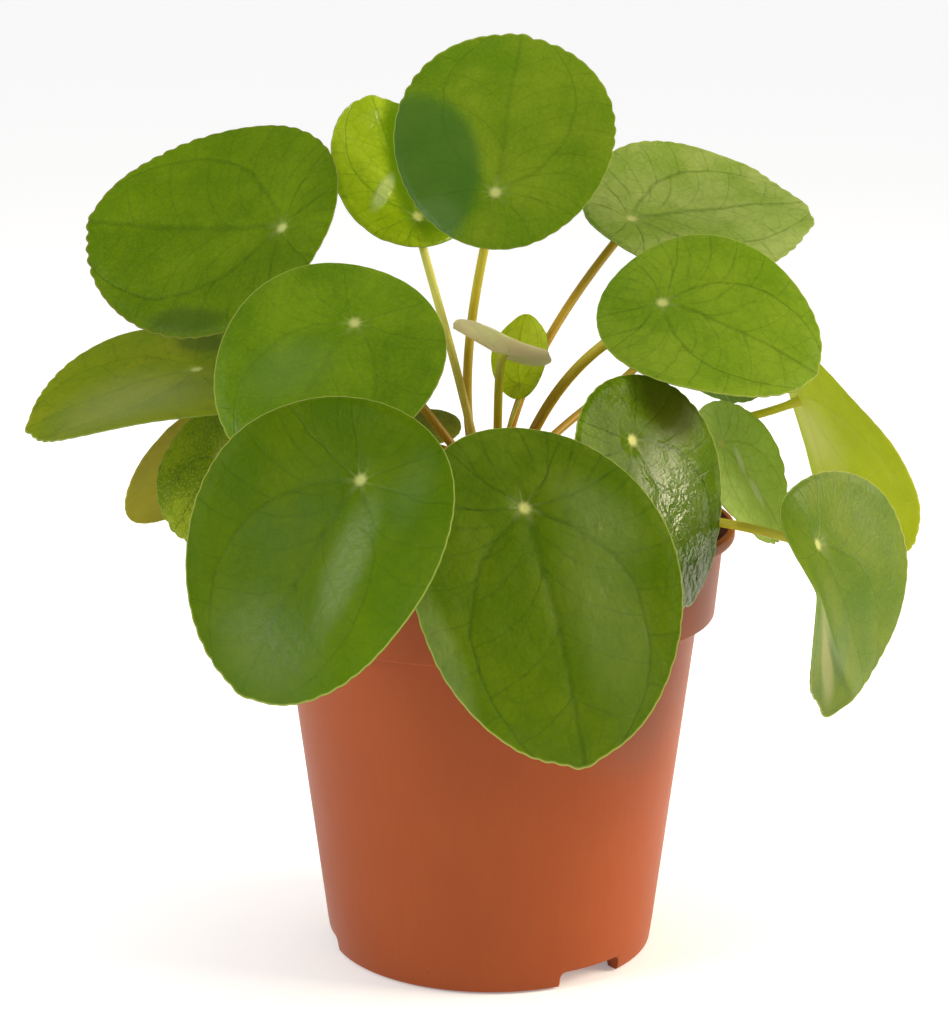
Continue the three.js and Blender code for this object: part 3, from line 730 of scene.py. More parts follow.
stalk_pieces = []
for number, leaf in enumerate(LEAVES, start=1):
    path = stalk_points(leaf)
    root, first, second, end = path
    fresh()
    bpy.ops.curve.primitive_bezier_curve_add()
    curve = bpy.context.object
    start_point, end_point = curve.data.splines[0].bezier_points
    for point in (start_point, end_point):
        point.handle_left_type = point.handle_right_type = "FREE"
    start_point.co, end_point.co = root * MM, end * MM
    start_point.handle_right, end_point.handle_left = first * MM, second * MM
    start_point.handle_left = (root * 2 - first) * MM
    end_point.handle_right = (end * 2 - second) * MM
    bpy.ops.object.mode_set(mode="EDIT")
    bpy.ops.curve.select_all(action="SELECT")
    bpy.ops.curve.subdivide(number_cuts=STALK_CUTS)
    bpy.ops.object.mode_set(mode="OBJECT")
    points = curve.data.splines[0].bezier_points
    for k, point in enumerate(points):
        point.radius = swelling(k / (len(points) - 1), leaf["diameter"])
    curve.data.dimensions = "3D"
    curve.data.bevel_depth = MM
    curve.data.bevel_resolution = 5
    curve.data.resolution_u = 8
    curve.data.use_fill_caps = True
    bpy.ops.object.convert(target="MESH")
    stalk = bpy.context.object
    along = stalk.data.attributes.new("along", "FLOAT", "POINT")
    along.data.foreach_set("value", shares_along(stalk.data, path))
    on_whole_mesh(stalk, bpy.ops.mesh.remove_doubles, threshold=0.00002)
    faces_outward(stalk)
    shade_smooth(stalk, 50)
    finish_piece(stalk, f"stalk_{number:02d}", STALK_SKINS[STALK_SKIN_OF[number]],
                 (f"petiole_{number:02d}",))
    stalk_pieces.append(stalk)
print("stalks:", len(stalk_pieces), "with", len(stalk_pieces[0].data.polygons), "faces each")

# %% [markdown]
# ## The vein pattern
# Three stout veins leave the hub for the tip and arch together; thinner ones run sideways and
# back, and their branches make loops. All are worked out from the blade's own flat coordinates,
# kept as a UV map: the origin is the hub, and the tip lies one unit away. One node group holds
# the pattern, so that every leaf's skin reads the same plan at its own size. The patterns are:
# main veins, branches, the net between them, and the pale dots of the water pores.

# %% Main veins
UV_MIDDLE = (0.5, 0.42)
UV_SCALE = 0.5
# The angle from the tip at which each side vein leaves the hub, in radians, and how many times
# thinner it is than the midrib. The first arches to the tip, and the last runs straight back.
SIDE_VEINS = ((1.0, 1.4), (1.62, 3.2), (2.27, 3.6), (3.14, 3.6))


def main_veins(group, x, y, reach, angle, arch):
    behind = add_node(group, "Math", {0: y, 1: -1.0}, operation="MULTIPLY")
    nearest = add_node(group, "Math", {0: x, 1: behind}, operation="MAXIMUM")
    for leave, thinner in SIDE_VEINS:
        line = arch
        if leave > 1:
            line = add_node(group, "Math", {0: reach, 1: 0.35, 2: leave}, operation="MULTIPLY_ADD")
        gap = angle
        for step, other in (("SUBTRACT", line), ("ABSOLUTE", 0.0), ("MULTIPLY", reach),
                            ("MULTIPLY", thinner)):
            gap = add_node(group, "Math", {0: gap, 1: other}, operation=step)
        nearest = add_node(group, "Math", {0: nearest, 1: gap}, operation="MINIMUM")
    width = add_node(group, "MapRange", {"Value": reach, "To Min": 0.034, "To Max": 0.020})
    return add_node(group, "MapRange", {"Value": nearest, "From Max": width, **FALLING}, **SMOOTH)


print("veins from the hub:", 2 * len(SIDE_VEINS))

# %% Branches, net and dots
# Branches cross the space between the main veins at a slant. Inside the arch they lean more.
BRANCHES = dict(inside=(1.66, 0.42), outside=(1.31, 0.35))
BRANCH_HALF_WIDTH = 0.012
NET_MM = 4.6
PORE_MM = 1.1


def branch_veins(group, reach, angle, arch):
    families = []
    for lean, pitch in (BRANCHES["inside"], BRANCHES["outside"]):
        gap = add_node(group, "Math", {0: reach, 1: -lean, 2: angle}, operation="MULTIPLY_ADD")
        for step, other in (("PINGPONG", pitch / 2), ("MULTIPLY", reach)):
            gap = add_node(group, "Math", {0: gap, 1: other}, operation=step)
        families.append(add_node(group, "MapRange", {"Value": gap, "From Max": BRANCH_HALF_WIDTH,
                                                     **FALLING}, **SMOOTH))
    within = add_node(group, "Math", {0: angle, 1: arch}, operation="LESS_THAN")
    branch = add_node(group, "Mix", {0: within, 2: families[1], 3: families[0]}, data_type="FLOAT")
    away = add_node(group, "MapRange", {"Value": reach, "From Min": 0.1, "From Max": 0.25})
    return add_node(group, "Math", {0: branch, 1: away}, operation="MULTIPLY")


def net_veins(group, flat, seed):
    net = add_node(group, "TexVoronoi", {"Vector": flat, "W": seed, "Scale": 1 / NET_MM},
                   feature="DISTANCE_TO_EDGE", voronoi_dimensions="4D")
    return add_node(group, "MapRange", {"Value": net, "From Max": 0.10, **FALLING}, **SMOOTH)


def water_pores(group, flat):
    dots = add_node(group, "TexVoronoi", {"Vector": flat, "Scale": 1 / PORE_MM},
                    voronoi_dimensions="2D")
    return add_node(group, "MapRange", {"Value": dots, "From Min": 0.12, "From Max": 0.3, **FALLING})


print("net:", NET_MM, "mm, pores:", PORE_MM, "mm")

# %% Vein node group
def vein_plan():
    group = bpy.data.node_groups.new("pilea_vein_plan", "ShaderNodeTree")
    results = ("Main", "Branch", "Net", "Dots")
    for name in ("Size", "Seed"):
        group.interface.new_socket(name=name, in_out="INPUT", socket_type="NodeSocketFloat")
    for name in results:
        group.interface.new_socket(name=name, in_out="OUTPUT", socket_type="NodeSocketFloat")
    group.interface.new_socket(name="Flat", in_out="OUTPUT", socket_type="NodeSocketVector")
    given = group.nodes.new("NodeGroupInput")
    size, seed = given.outputs["Size"], given.outputs["Seed"]
    uv = add_node(group, "UVMap", uv_map="blade")
    offset = (-UV_MIDDLE[0] / UV_SCALE, -UV_MIDDLE[1] / UV_SCALE, 0)
    plan = add_node(group, "Mapping", {"Vector": uv, "Location": offset,
                                       "Scale": (1 / UV_SCALE, 1 / UV_SCALE, 1)})
    flat = add_node(group, "VectorMath", {0: plan, "Scale": size}, operation="SCALE")
    # Veins waver a little: a slow noise pushes the plan about before it is read.
    warp = add_node(group, "TexNoise", {"Vector": plan, "W": seed, "Scale": 5.0, "Detail": 1.0},
                    output="Color", noise_dimensions="4D")
    drift = add_node(group, "VectorMath", {0: warp, 1: (0.5, 0.5, 0.5)}, operation="SUBTRACT")
    pushed = add_node(group, "VectorMath", {0: drift, 1: (0.05, 0.05, 0), 2: plan},
                      operation="MULTIPLY_ADD")
    parts = add_node(group, "SeparateXYZ", {"Vector": pushed}).node
    x, y = parts.outputs[0], parts.outputs[1]
    side = add_node(group, "Math", {0: x}, operation="ABSOLUTE")
    reach = add_node(group, "VectorMath", {0: plan}, output="Value", operation="LENGTH")
    angle = add_node(group, "Math", {0: side, 1: y}, operation="ARCTAN2")
    bow = add_node(group, "Math", {0: reach, 1: 1.8}, operation="POWER")
    arch = add_node(group, "Math", {0: bow, 1: -0.85, 2: 1.0}, operation="MULTIPLY_ADD")
    patterns = (main_veins(group, side, y, reach, angle, arch),
                branch_veins(group, reach, angle, arch), net_veins(group, flat, seed),
                water_pores(group, flat))
    handed_out = group.nodes.new("NodeGroupOutput")
    for name, socket in zip((*results, "Flat"), (*patterns, flat)):
        group.links.new(socket, handed_out.inputs[name])
    return group


veins = vein_plan()
print("vein plan:", len(veins.nodes), "nodes")

# %% [markdown]
# ## Leaf skins
# The upper skin is waxy over saturated green; the light that comes through from behind is what
# makes the blades glow, so a share of the shading is translucent. Sunken veins are darker than the
# quilted skin between them, partly in their own tone and partly as painted shade in their grooves,
# except round the hub, where a pale dot sends out short rays. The underside is paler and duller,
# with raised light veins. The thin margin is straw coloured. Soft-edged patches on single leaves
# paint shade, shadows, sheens and highlights into the skin, with a few pale spots.

# %% Patches on a leaf
# In mm from the hub: x across the blade, y towards its tip; lean is in degrees.
def patch(x, y, half_x, half_y, tone, share, lean=0, soft=0.5, shine=0.3, wrinkle=0.0):
    return dict(x=x, y=y, half_x=half_x, half_y=half_y, tone=tone, share=share, lean=lean,
                soft=soft, shine=shine, wrinkle=wrinkle)


def patch_spread(tree, spot, flat, fine):
    soft = spot["soft"]
    spread = add_node(tree, "Mapping", {"Vector": flat, "Location": (spot["x"], spot["y"], 0),
                                        "Rotation": (0, 0, math.radians(spot["lean"])),
                                        "Scale": (spot["half_x"], spot["half_y"], 1)},
                      vector_type="TEXTURE")
    spread = add_node(tree, "VectorMath", {0: spread}, output="Value", operation="LENGTH")
    spread = add_node(tree, "Math", {0: fine, 1: soft * 0.6, 2: spread}, operation="MULTIPLY_ADD")
    return add_node(tree, "MapRange", {"Value": spread, "From Min": 1 - soft * 0.6,
                                       "From Max": 1 + soft, **FALLING}, **SMOOTH)


print("a patch:", patch(0, 0, 5, 5, "#35602A", 0.5))

# %% Leaf skin materials
CLOUD_MM = 14
FINE_MM = 0.9
FOLD_MM = 2.4


# A pale dot marks the hub, with rays along the first stretch of the veins.
def hub_spread(tree, look, flat, main):
    hub_mm = add_node(tree, "VectorMath", {0: flat}, output="Value", operation="LENGTH")
    halo, dot = (add_node(tree, "MapRange", {"Value": hub_mm, "From Min": near, "From Max": far,
                                             **FALLING}, **SMOOTH)
                 for near, far in ((1.2, 5.5), (0.3, 2.1)))
    rays = add_node(tree, "Math", {0: halo, 1: main}, operation="MULTIPLY")
    spread = add_node(tree, "Math", {0: rays, 1: 0.2, 2: dot}, operation="MULTIPLY_ADD", use_clamp=True)
    return add_node(tree, "Math", {0: spread, 1: look["hub_share"]}, operation="MULTIPLY")


def leaf_skin(name, leaf, look, seed):
    material, tree = new_material(name)
    group = tree.nodes.new("ShaderNodeGroup")
    group.node_tree = veins
    group.inputs["Size"].default_value = tip_reach(leaf)
    group.inputs["Seed"].default_value = seed
    main, branch, net, dots, flat = group.outputs
    cloud, fine, folds = (
        add_node(tree, "TexNoise", {"Vector": flat, "W": seed, "Scale": 1 / size, "Detail": detail},
                 noise_dimensions="4D")
        for size, detail in ((CLOUD_MM, 3.0), (FINE_MM, 4.0), (FOLD_MM, 3.0)))
    clouded = add_node(tree, "MapRange", {"Value": cloud, "From Min": 0.35, "From Max": 0.65})
    mottled = add_node(tree, "Math", {0: fine, 1: 1.4, 2: -0.7}, operation="MULTIPLY_ADD")
    clouded = add_node(tree, "Math", {0: clouded, 1: mottled}, operation="ADD", use_clamp=True)
    veined = main
    for pattern, weight in ((branch, 0.7), (net, 0.42)):
        veined = add_node(tree, "Math", {0: pattern, 1: weight, 2: veined}, operation="MULTIPLY_ADD")
    veined = add_node(tree, "Math", {0: veined, 1: look["vein_share"]}, operation="MULTIPLY",
                      use_clamp=True)
    dotted = add_node(tree, "Math", {0: dots, 1: look["dots"]}, operation="MULTIPLY")
    layers = [(clouded, look["light"]), (veined, look["vein"]), (dotted, look["dot"])]
    if "speck" in look:
        specks = add_node(tree, "TexVoronoi", {"Vector": flat, "W": seed,
                                               "Scale": 1 / look["speck_mm"]}, voronoi_dimensions="4D")
        specks = add_node(tree, "MapRange", {"Value": specks, "From Min": 0.16, "From Max": 0.3,
                                             "To Min": look["speck_share"], "To Max": 0.0})
        layers.append((specks, look["speck"]))
    gloss, wrinkled = look["shine"], look["wrinkle"]
    # Each patch paints its tone into the skin and sets the gloss and wrinkles there; most are painted
    # shade, shadows, sheens and highlights.
    for spot in look.get("patches", []):
        spread = patch_spread(tree, spot, flat, fine)
        share = add_node(tree, "Math", {0: spread, 1: spot["share"]}, operation="MULTIPLY")
        layers.append((share, spot["tone"]))
        gloss = add_node(tree, "Mix", {0: spread, 2: gloss, 3: spot["shine"]}, data_type="FLOAT")
        wrinkled = add_node(tree, "Math", {0: spread, 1: spot["wrinkle"], 2: wrinkled},
                            operation="MULTIPLY_ADD")
    edge = add_node(tree, "Attribute", output="Fac", attribute_name="edge")
    rimmed = add_node(tree, "MapRange", {"Value": edge, "From Min": look["rim_from"],
                                         "From Max": 0.998, "To Max": look["rim_share"]})
    layers += [(rimmed, look["rim"]), (hub_spread(tree, look, flat, main), look["hub"])]
    colour = linear(look["deep"])
    for share, tone in layers:
        colour = add_node(tree, "Mix", {0: share, 6: colour, 7: linear(tone)}, **MIX_COLOURS)
    height = 0.0
    for pattern, weight in ((main, look["relief"]), (branch, look["relief"] * 0.5),
                            (net, look["relief"] * 0.2), (fine, 0.22), (folds, wrinkled)):
        height = add_node(tree, "Math", {0: pattern, 1: weight, 2: height}, operation="MULTIPLY_ADD")
    bump = add_node(tree, "Bump", {"Height": height, "Strength": 0.8, "Distance": 0.4 * MM})
    rough = add_node(tree, "MapRange", {"Value": cloud, "From Min": 0.3, "From Max": 0.7,
                                        "To Min": look["rough"], "To Max": look["rough"] + 0.1})
    skin = add_node(tree, "BsdfPrincipled", {"Base Color": colour, "Roughness": rough, "IOR": 1.45,
                                             "Normal": bump, "Specular IOR Level": gloss})
    glow = add_node(tree, "Mix", {0: look["glow_tint"], 6: colour, 7: linear(look["glow"])},
                    **MIX_COLOURS)
    glow = add_node(tree, "BsdfTranslucent", {"Color": glow, "Normal": bump})
    mixed = add_node(tree, "MixShader", {0: look["through"], 1: skin, 2: glow})
    add_node(tree, "OutputMaterial", {"Surface": mixed})
    return material


print("skin scales:", CLOUD_MM, FINE_MM, FOLD_MM, "mm")

# %% Looks of the leaves
# Shared starting points; each leaf changes what it shows differently. Colours go from deep to
# light in clouds. Teeth is the depth of the margin's scallops and crinkle the height of the
# swellings between veins, both in mm; wrinkle and relief are only in the skin's bump. Through is
# the share of light that passes the blade.
# The upper veins' dark tone is partly painted shade in their grooves.
UPPER = dict(deep="#4E7A12", light="#6A9A1E", vein="#304C08", vein_share=0.5, dots=0.10,
             dot="#A8C060", rim="#C2C070", rim_from=0.990, rim_share=0.75, hub="#DDE08A",
             hub_share=0.9, teeth=0.2, wrinkle=0.3, relief=-0.14, rough=0.30, shine=0.3,
             crinkle=0.06, glow="#A8CC10", glow_tint=0.5, through=0.45)
LOWER = dict(UPPER, deep="#7F9440", light="#98AA54", vein="#C2CC8C", vein_share=0.4, relief=0.5,
             dots=0.04, rough=0.5, shine=0.2, hub="#B8BE78", hub_share=0.7, through=0.72,
             rim_share=0.4)
# Leaves 8, 13 and 17 lie in the shade of others: their tones are painted paler than their own, to make up
# for the light they lack.
LOOKS = {
    1: dict(deep="#66830E", light="#81941A", glow="#98CC18", vein_share=0.25, teeth=0.42,
            # Painted shade on the left, where leaf 2 behind blocks the light through the blade, and a
            # faint pale spot below it.
            patches=[patch(-21, 2, 17, 22, "#35602A", 0.72, soft=0.16),
                     patch(-13, -9, 6, 6, "#A8BC98", 0.08)]),
    2: dict(deep="#A5BC17", light="#C3D42D", vein="#6A9010", rough=0.16, shine=0.5, crinkle=0.36,
            # A painted shadow cast by leaf 1, and a painted highlight on the left.
            patches=[patch(5, 14, 8, 24, "#527606", 0.9, lean=-12, soft=0.3, shine=0.1),
                     patch(-7, 8, 1.8, 6, "#F0F4C8", 0.4, lean=-47, shine=0.9, wrinkle=1.6)]),
    3: dict(deep="#5C7701", light="#728A01", rim="#A08050", vein_share=0.35, teeth=0.5, shine=0.15,
            # Painted shade at the bottom of the blade.
            patches=[patch(-27, 18, 4, 11, "#34480A", 0.6)]),
    4: dict(deep="#798602", light="#949406", speck="#4A5014", speck_mm=2.4, speck_share=0.4,
            vein_share=0.25, teeth=0.4, shine=0.15,
            # Painted shade where leaves 3 and 5 overlap it; the lower half paler, partly in its own beige
            # tone and partly as painted sheen.
            patches=[patch(15, -3, 5, 8, "#3C440C", 0.6, lean=-55),
                     patch(-11, 18, 15, 18, "#ACA880", 0.3, soft=0.8, lean=-22)]),
    5: dict(deep="#618305", light="#7B9A0C", vein_share=0.18, teeth=0.12,
            # A painted sheen, grey-green and wrinkled.
            patches=[patch(7, 18, 6.8, 10, "#7A9450", 0.35, soft=0.8, wrinkle=0.3, lean=-35)]),
    6: dict(deep="#4C6801", light="#5E7401", rough=0.36, shine=0.08, crinkle=0.1, vein_share=0.34,
            dots=0.04,
            # Three painted sheens of the soft light from the left.
            patches=[patch(-9, 17, 4.4, 15, "#7E9450", 0.36, soft=0.7, shine=0.4, wrinkle=1.2, lean=11),
                     patch(-2, 42, 14, 9, "#768A50", 0.3, soft=0.9, shine=0.3, wrinkle=1.2),
                     patch(-13, -4, 4.5, 8, "#6E8A4C", 0.25, soft=0.9, shine=0.15, wrinkle=0.8, lean=20)]),
    7: dict(deep="#4E6801", light="#5E7402", crinkle=0.2, vein_share=0.5, shine=0.2, dots=0.05,
            # Painted sheens: a pale strip along the lower left margin and two broad ones right of the
            # midrib.
            patches=[patch(28, 28, 4, 17, "#94A868", 0.4, lean=12, soft=0.7, wrinkle=1.2),
                     patch(-16, 5, 6, 11, "#7C9050", 0.4, soft=0.8, wrinkle=1.2, lean=34),
                     patch(-12, 26, 8, 20, "#7C9050", 0.34, soft=0.8, wrinkle=0.7)]),
    8: dict(deep="#708203", light="#9AA50A", speck="#2C420A", speck_mm=2.2, speck_share=0.6,
            dots=0.45, dot="#C0C048", teeth=0.5),
    9: dict(deep="#7A7A18", light="#9A8A20"),
    10: dict(deep="#89A13B", light="#B1BC69", rough=0.36, vein_share=0.35, teeth=0.3),
    11: dict(deep="#709110", light="#8AA41F", vein_share=0.35),
    12: dict(deep="#4B6408", light="#607A13", crinkle=0.24, rough=0.14, shine=0.06, through=0.3,
             # The first patch is the painted shadow of leaf 11, dark and dull; the second makes the lower
             # half glossier and more wrinkled.
             teeth=0.4, patches=[patch(-16, -3, 9, 11, "#3E380C", 0.8, shine=0.02),
                                 patch(-2, 27, 12, 18, "#466012", 0.4, lean=-7, soft=0.8, shine=1.0,
                                       wrinkle=2.6)]),
    13: dict(deep="#BCD874", light="#CCE48E", glow="#C8DC50", vein_share=0.25, crinkle=0.3, rough=0.16,
             shine=0.3, through=0.6, teeth=0.6,
             # Two painted highlights: thin glossy streaks.
             patches=[patch(-1, 7, 1.2, 4, "#F0F4E0", 0.7, shine=0.9, wrinkle=2.0, lean=-28),
                      patch(1, 16, 1.7, 4, "#F0F4E0", 0.7, shine=0.9, wrinkle=2.0, lean=-14)]),
    14: dict(deep="#6E8C20", light="#88A02C", glow="#D8E818"),
    15: dict(vein_share=0.25, deep="#547408", light="#6F830F",
             # A pale strip along the folded margin, and a dark line of painted shade in the crease beside
             # it.
             patches=[patch(21, 20, 2.6, 15, "#B4B078", 0.6, soft=0.5, lean=22),
                      patch(16, 23, 1.2, 15, "#46600C", 0.6, soft=0.6, lean=33)]),
    16: dict(deep="#A2AA70", light="#C4C898", glow="#E8E8B0"),
    17: dict(deep="#E6E640", light="#F4F460", vein="#8C9A14", glow="#ECEC28", hub_share=0.2,
             through=0.8),
    18: dict(deep="#6C7200", light="#828604", glow="#B0A800", shine=0.1),
    19: dict(deep="#4E7A14", light="#648E20"),
    20: dict(deep="#557F1A", light="#6E982A"),
    21: dict(deep="#446E0E", light="#567F16"),
    22: dict(deep="#4A720F", light="#5C8418"),
    23: dict(deep="#4E7C14", light="#618A1E"),
}
print("looks of", len(LOOKS), "leaves")

# %% Skins of both sides
undersides = {
    "plain": leaf_skin("leaf_underside_pale", LEAVES[0], LOWER, 3.1),
    "ochre": leaf_skin("leaf_underside_ochre", LEAVES[8],
                       dict(LOWER, deep="#B8AC34", light="#CCC046", vein="#C4B85A", glow="#CCCC48"), 5.2),
    "lime": leaf_skin("leaf_underside_lime", LEAVES[13],
                      dict(LOWER, deep="#AEB82E", light="#C2C846", vein="#CCD070", glow="#E4E850",
                           patches=[patch(-8, 6, 16.8, 11, "#E4DCC0", 0.8, soft=0.9, lean=44)]), 6.4),
    "cream": leaf_skin("leaf_underside_cream", LEAVES[15],
                       dict(LOWER, deep="#F4E0D4", light="#E8F0BC", through=0.75, vein="#E0CCBC",
                            glow="#F8F0E0",
                            patches=[patch(7, 1, 4, 6, "#E0B4A8", 0.6, soft=0.9),
                                     patch(-7, 3, 4, 6, "#E4BCB0", 0.5, soft=0.9)]), 7.7),
}
UNDERSIDE_OF = {9: "ochre", 14: "lime", 16: "cream"}
SEED_STEP = 1.7
looks = {number: dict(UPPER, **LOOKS[number]) for number in LOOKS}
skins = {number: leaf_skin(f"leaf_skin_{number:02d}", leaf, looks[number], number * SEED_STEP)
         for number, leaf in enumerate(LEAVES, start=1)}
print("leaf skins:", len(skins), "uppers,", len(undersides), "undersides")

# %% [markdown]
# ## The blades
# One flat blank is made by hand: a small circle extruded and scaled ring by ring to a disc, with
# rings close together at the hub and at the margin. Every leaf is a copy of it. Its points move
# to the leaf's own outline, then lift by the leaf's cup, fold and wave, by the vein grooves and by
# the crinkles between them. A solidify modifier gives the sheet its thickness, less at the margin.

# %% Leaf blanks
def leaf_blank(spokes, shares):
    fresh()
    bpy.ops.mesh.primitive_circle_add(vertices=spokes, radius=shares[0], fill_type="TRIFAN")
    blank = bpy.context.object
    bpy.ops.object.mode_set(mode="EDIT")
    bpy.ops.mesh.select_all(action="DESELECT")
    bpy.ops.mesh.select_mode(type="EDGE")
    bpy.ops.mesh.select_non_manifold()
    for share, following in zip(shares, shares[1:]):
        bpy.ops.mesh.extrude_region_move(TRANSFORM_OT_translate={"value": (0, 0, 0)})
        factor = following / share
        bpy.ops.transform.resize(value=(factor, factor, 1), center_override=(0, 0, 0))
    bpy.ops.object.mode_set(mode="OBJECT")
    blank.select_set(False)
    return blank


INNER_SHARES = [0.018, 0.036, 0.058, 0.085]
BODY_SHARES = [0.085 + 0.0325 * k for k in range(1, 26)]
MARGIN_SHARES = [0.922, 0.945, 0.963, 0.978, 0.989, 0.996, 1.0]
large_blank = leaf_blank(264, INNER_SHARES + BODY_SHARES + MARGIN_SHARES)
small_blank = leaf_blank(132, INNER_SHARES[1:] + BODY_SHARES[::2] + MARGIN_SHARES[1::2])
print("blanks:", len(large_blank.data.polygons), len(small_blank.data.polygons), "faces")


# %% Relief of the veins and between them
# How deep, in mm, and how wide the skin sinks along a vein.
GROOVES = dict(hub=(HUB_DIMPLE, 2.8), midrib=(0.26, 2.8), arch=(0.11, 2.4), others=(0.05, 2.0))
CRINKLE_MM = 6.5
SWELL_MM = 17
SWELL = 0.6
DROOP = 0.15


def smooth_step(value, low, high):
    t = np.clip((value - low) / (high - low), 0, 1)
    return t * t * (3 - 2 * t)


def sink(name, distance):
    deep, wide = GROOVES[name]
    return -deep * np.exp(-((distance / wide) ** 2))


def noise_field(x, y, size, layer):
    return np.array([noise.noise(Vector((px / size, py / size, layer))) for px, py in zip(x, y)])


def relief_of(x, y, share, leaf, number):
    reach = np.hypot(x, y)
    unit = reach / tip_reach(leaf)
    angle = np.arctan2(np.abs(x), y)
    arch = 1.0 - 0.85 * unit ** 1.8
    rib = np.where(y > 0, np.abs(x), reach)
    lift = sink("hub", reach)
    lift += sink("midrib", rib) * smooth_step(reach, 0, 5) * (1 - 0.6 * unit)
    lift += sink("arch", reach * np.abs(angle - arch)) * smooth_step(reach, 2, 8)
    for leave, _ in SIDE_VEINS[1:]:
        gap = reach * np.abs(angle - leave - 0.35 * unit)
        lift += sink("others", gap) * smooth_step(reach, 2, 8)
    bumps = noise_field(x, y, CRINKLE_MM, number * 3.7)
    bumps += 0.5 * noise_field(x, y, 3.1, number * 5.3)
    lift += looks[number]["crinkle"] * bumps * smooth_step(reach, 2, 10)
    lift += SWELL * noise_field(x, y, SWELL_MM, number * 1.9) * smooth_step(share, 0.3, 1.0)
    return lift - DROOP * smooth_step(share, 0.9, 1.0)


print("grooves:", GROOVES)

# %% Scallops and points of the outline
SCALLOP_PITCH = 4.0
# Where an outline runs to a point: (direction from the tip, how far in mm, how broad in degrees).
POINTS = {3: [(0, 0.6, 6)], 4: [(0, 0.8, 5)], 7: [(0, 0.8, 7)],
          10: [(4, 0.6, 9), (26, 0.8, 9), (-41, 1.0, 12)], 15: [(23, 2.2, 9)],
          16: [(90, 2.2, 15), (-90, 2.6, 15)], 17: [(0, 1.1, 24)]}
PLAIN_POINT = [(0, 0.4, 5)]


def scalloped(share, angle, leaf, number):
    around = math.pi * (leaf["long"] + leaf["wide"]) / 2
    teeth = max(14, round(around / SCALLOP_PITCH))
    drift = 0.5 * np.sin(3 * angle + number) + 0.35 * np.sin(7 * angle + 2.3 * number)
    bite = 1 - np.abs(np.sin(teeth * angle / 2 + drift))
    deep = looks[number]["teeth"] * min(1, leaf["long"] / 45)
    deep = deep * (0.75 + 0.45 * np.sin(5 * angle + number))
    margin = smooth_step(share, 0.86, 1.0)
    change = -deep * bite / (leaf["long"] / 2)
    for at, far, broad in POINTS.get(number, PLAIN_POINT):
        off = (np.degrees(angle) - at + 180) % 360 - 180
        change += far * np.exp(-((off / broad) ** 2)) / (leaf["long"] / 2)
    change += 0.005 * np.sin(2 * angle + 1.3 * number) + 0.0035 * np.sin(4 * angle + 2.1 * number)
    return share * (1 + change * margin)


print("leaves that run to a point:", sorted(POINTS))

# %% A folded margin
# A margin that is folded back turns round a small radius and then runs on straight.
def folded_back(leaf, x, y, lift):
    if "fold" not in leaf:
        return x, y, lift
    direction, start, angle, radius = leaf["fold"]
    along, most = math.radians(direction), math.radians(angle)
    past = x * math.sin(along) + y * math.cos(along) - start
    turned = np.clip(past / radius, 0, most)
    rest = np.clip(past - most * radius, 0, None)
    run = radius * np.sin(turned) + rest * math.cos(most) - np.clip(past, 0, None)
    drop = radius * (1 - np.cos(turned)) + rest * math.sin(most)
    return x + run * math.sin(along), y + run * math.cos(along), lift - drop


print("folded leaves:", [number for number, leaf in enumerate(LEAVES, start=1) if "fold" in leaf])

# %% Leaf blades
LEAF_THICK = 0.62
MARGIN_THINNER = 0.62
SMALL_LEAF = 30


# The thickness is whole up to nine tenths of the way out and then falls towards the margin.
def thickness_group(blade, share):
    group = blade.vertex_groups.new(name="thickness")
    for level in np.unique(np.round(share, 4)):
        members = np.nonzero(np.abs(share - level) < 6e-5)[0]
        weight = 1.0 - MARGIN_THINNER * float(smooth_step(np.array(level), 0.9, 1.0))
        group.add(members.tolist(), weight, "REPLACE")


def keep_plan(mesh, x, y, share, reach):
    edge = mesh.attributes.new("edge", "FLOAT", "POINT")
    edge.data.foreach_set("value", share.astype(np.float32))
    layer = mesh.uv_layers.active or mesh.uv_layers.new(name="blade")
    layer.name = "blade"
    corners = np.array([loop.vertex_index for loop in mesh.loops])
    plan = np.stack([UV_MIDDLE[0] + UV_SCALE * x / reach, UV_MIDDLE[1] + UV_SCALE * y / reach], axis=1)
    layer.data.foreach_set("uv", plan[corners].astype(np.float32).ravel())


leaf_pieces = []
for number, leaf in enumerate(LEAVES, start=1):
    mesh = (small_blank if leaf["long"] < SMALL_LEAF else large_blank).data.copy()
    blade = bpy.data.objects.new("blade", mesh)
    bpy.context.scene.collection.objects.link(blade)
    spots = np.array([v.co[:] for v in mesh.vertices])
    share = np.hypot(spots[:, 0], spots[:, 1])
    angle = np.arctan2(spots[:, 0], spots[:, 1])
    x, y = flat_blade(leaf, scalloped(share, angle, leaf, number), angle)
    lift = blade_lift(leaf, x, y) + relief_of(x, y, share, leaf, number)
    across, tip, face = (np.array(axis) for axis in blade_frame(leaf))
    bent_x, bent_y, lift = folded_back(leaf, x, y, lift)
    where = (np.array(leaf["hub"]) + np.outer(bent_x, across) + np.outer(bent_y, tip)
             + np.outer(lift, face))
    mesh.vertices.foreach_set("co", (where * MM).ravel())
    keep_plan(mesh, x, y, share, tip_reach(leaf))
    thickness_group(blade, share)
    mesh.update()
    if np.array(mesh.polygons[0].normal) @ face < 0:
        on_whole_mesh(blade, bpy.ops.mesh.flip_normals)
    finish_piece(blade, f"blade_{number:02d}", skins[number],
                 (f"leaf_{number:02d}",))
    blade.data.materials.append(undersides[UNDERSIDE_OF.get(number, "plain")])
    apply_modifier(blade, "SOLIDIFY", thickness=LEAF_THICK * MM, offset=0, material_offset=1,
                   material_offset_rim=1, vertex_group="thickness", thickness_vertex_group=0.1)
    shade_smooth(blade, 70)
    leaf_pieces.append(blade)
for blank in (large_blank, small_blank):
    bpy.data.objects.remove(blank)
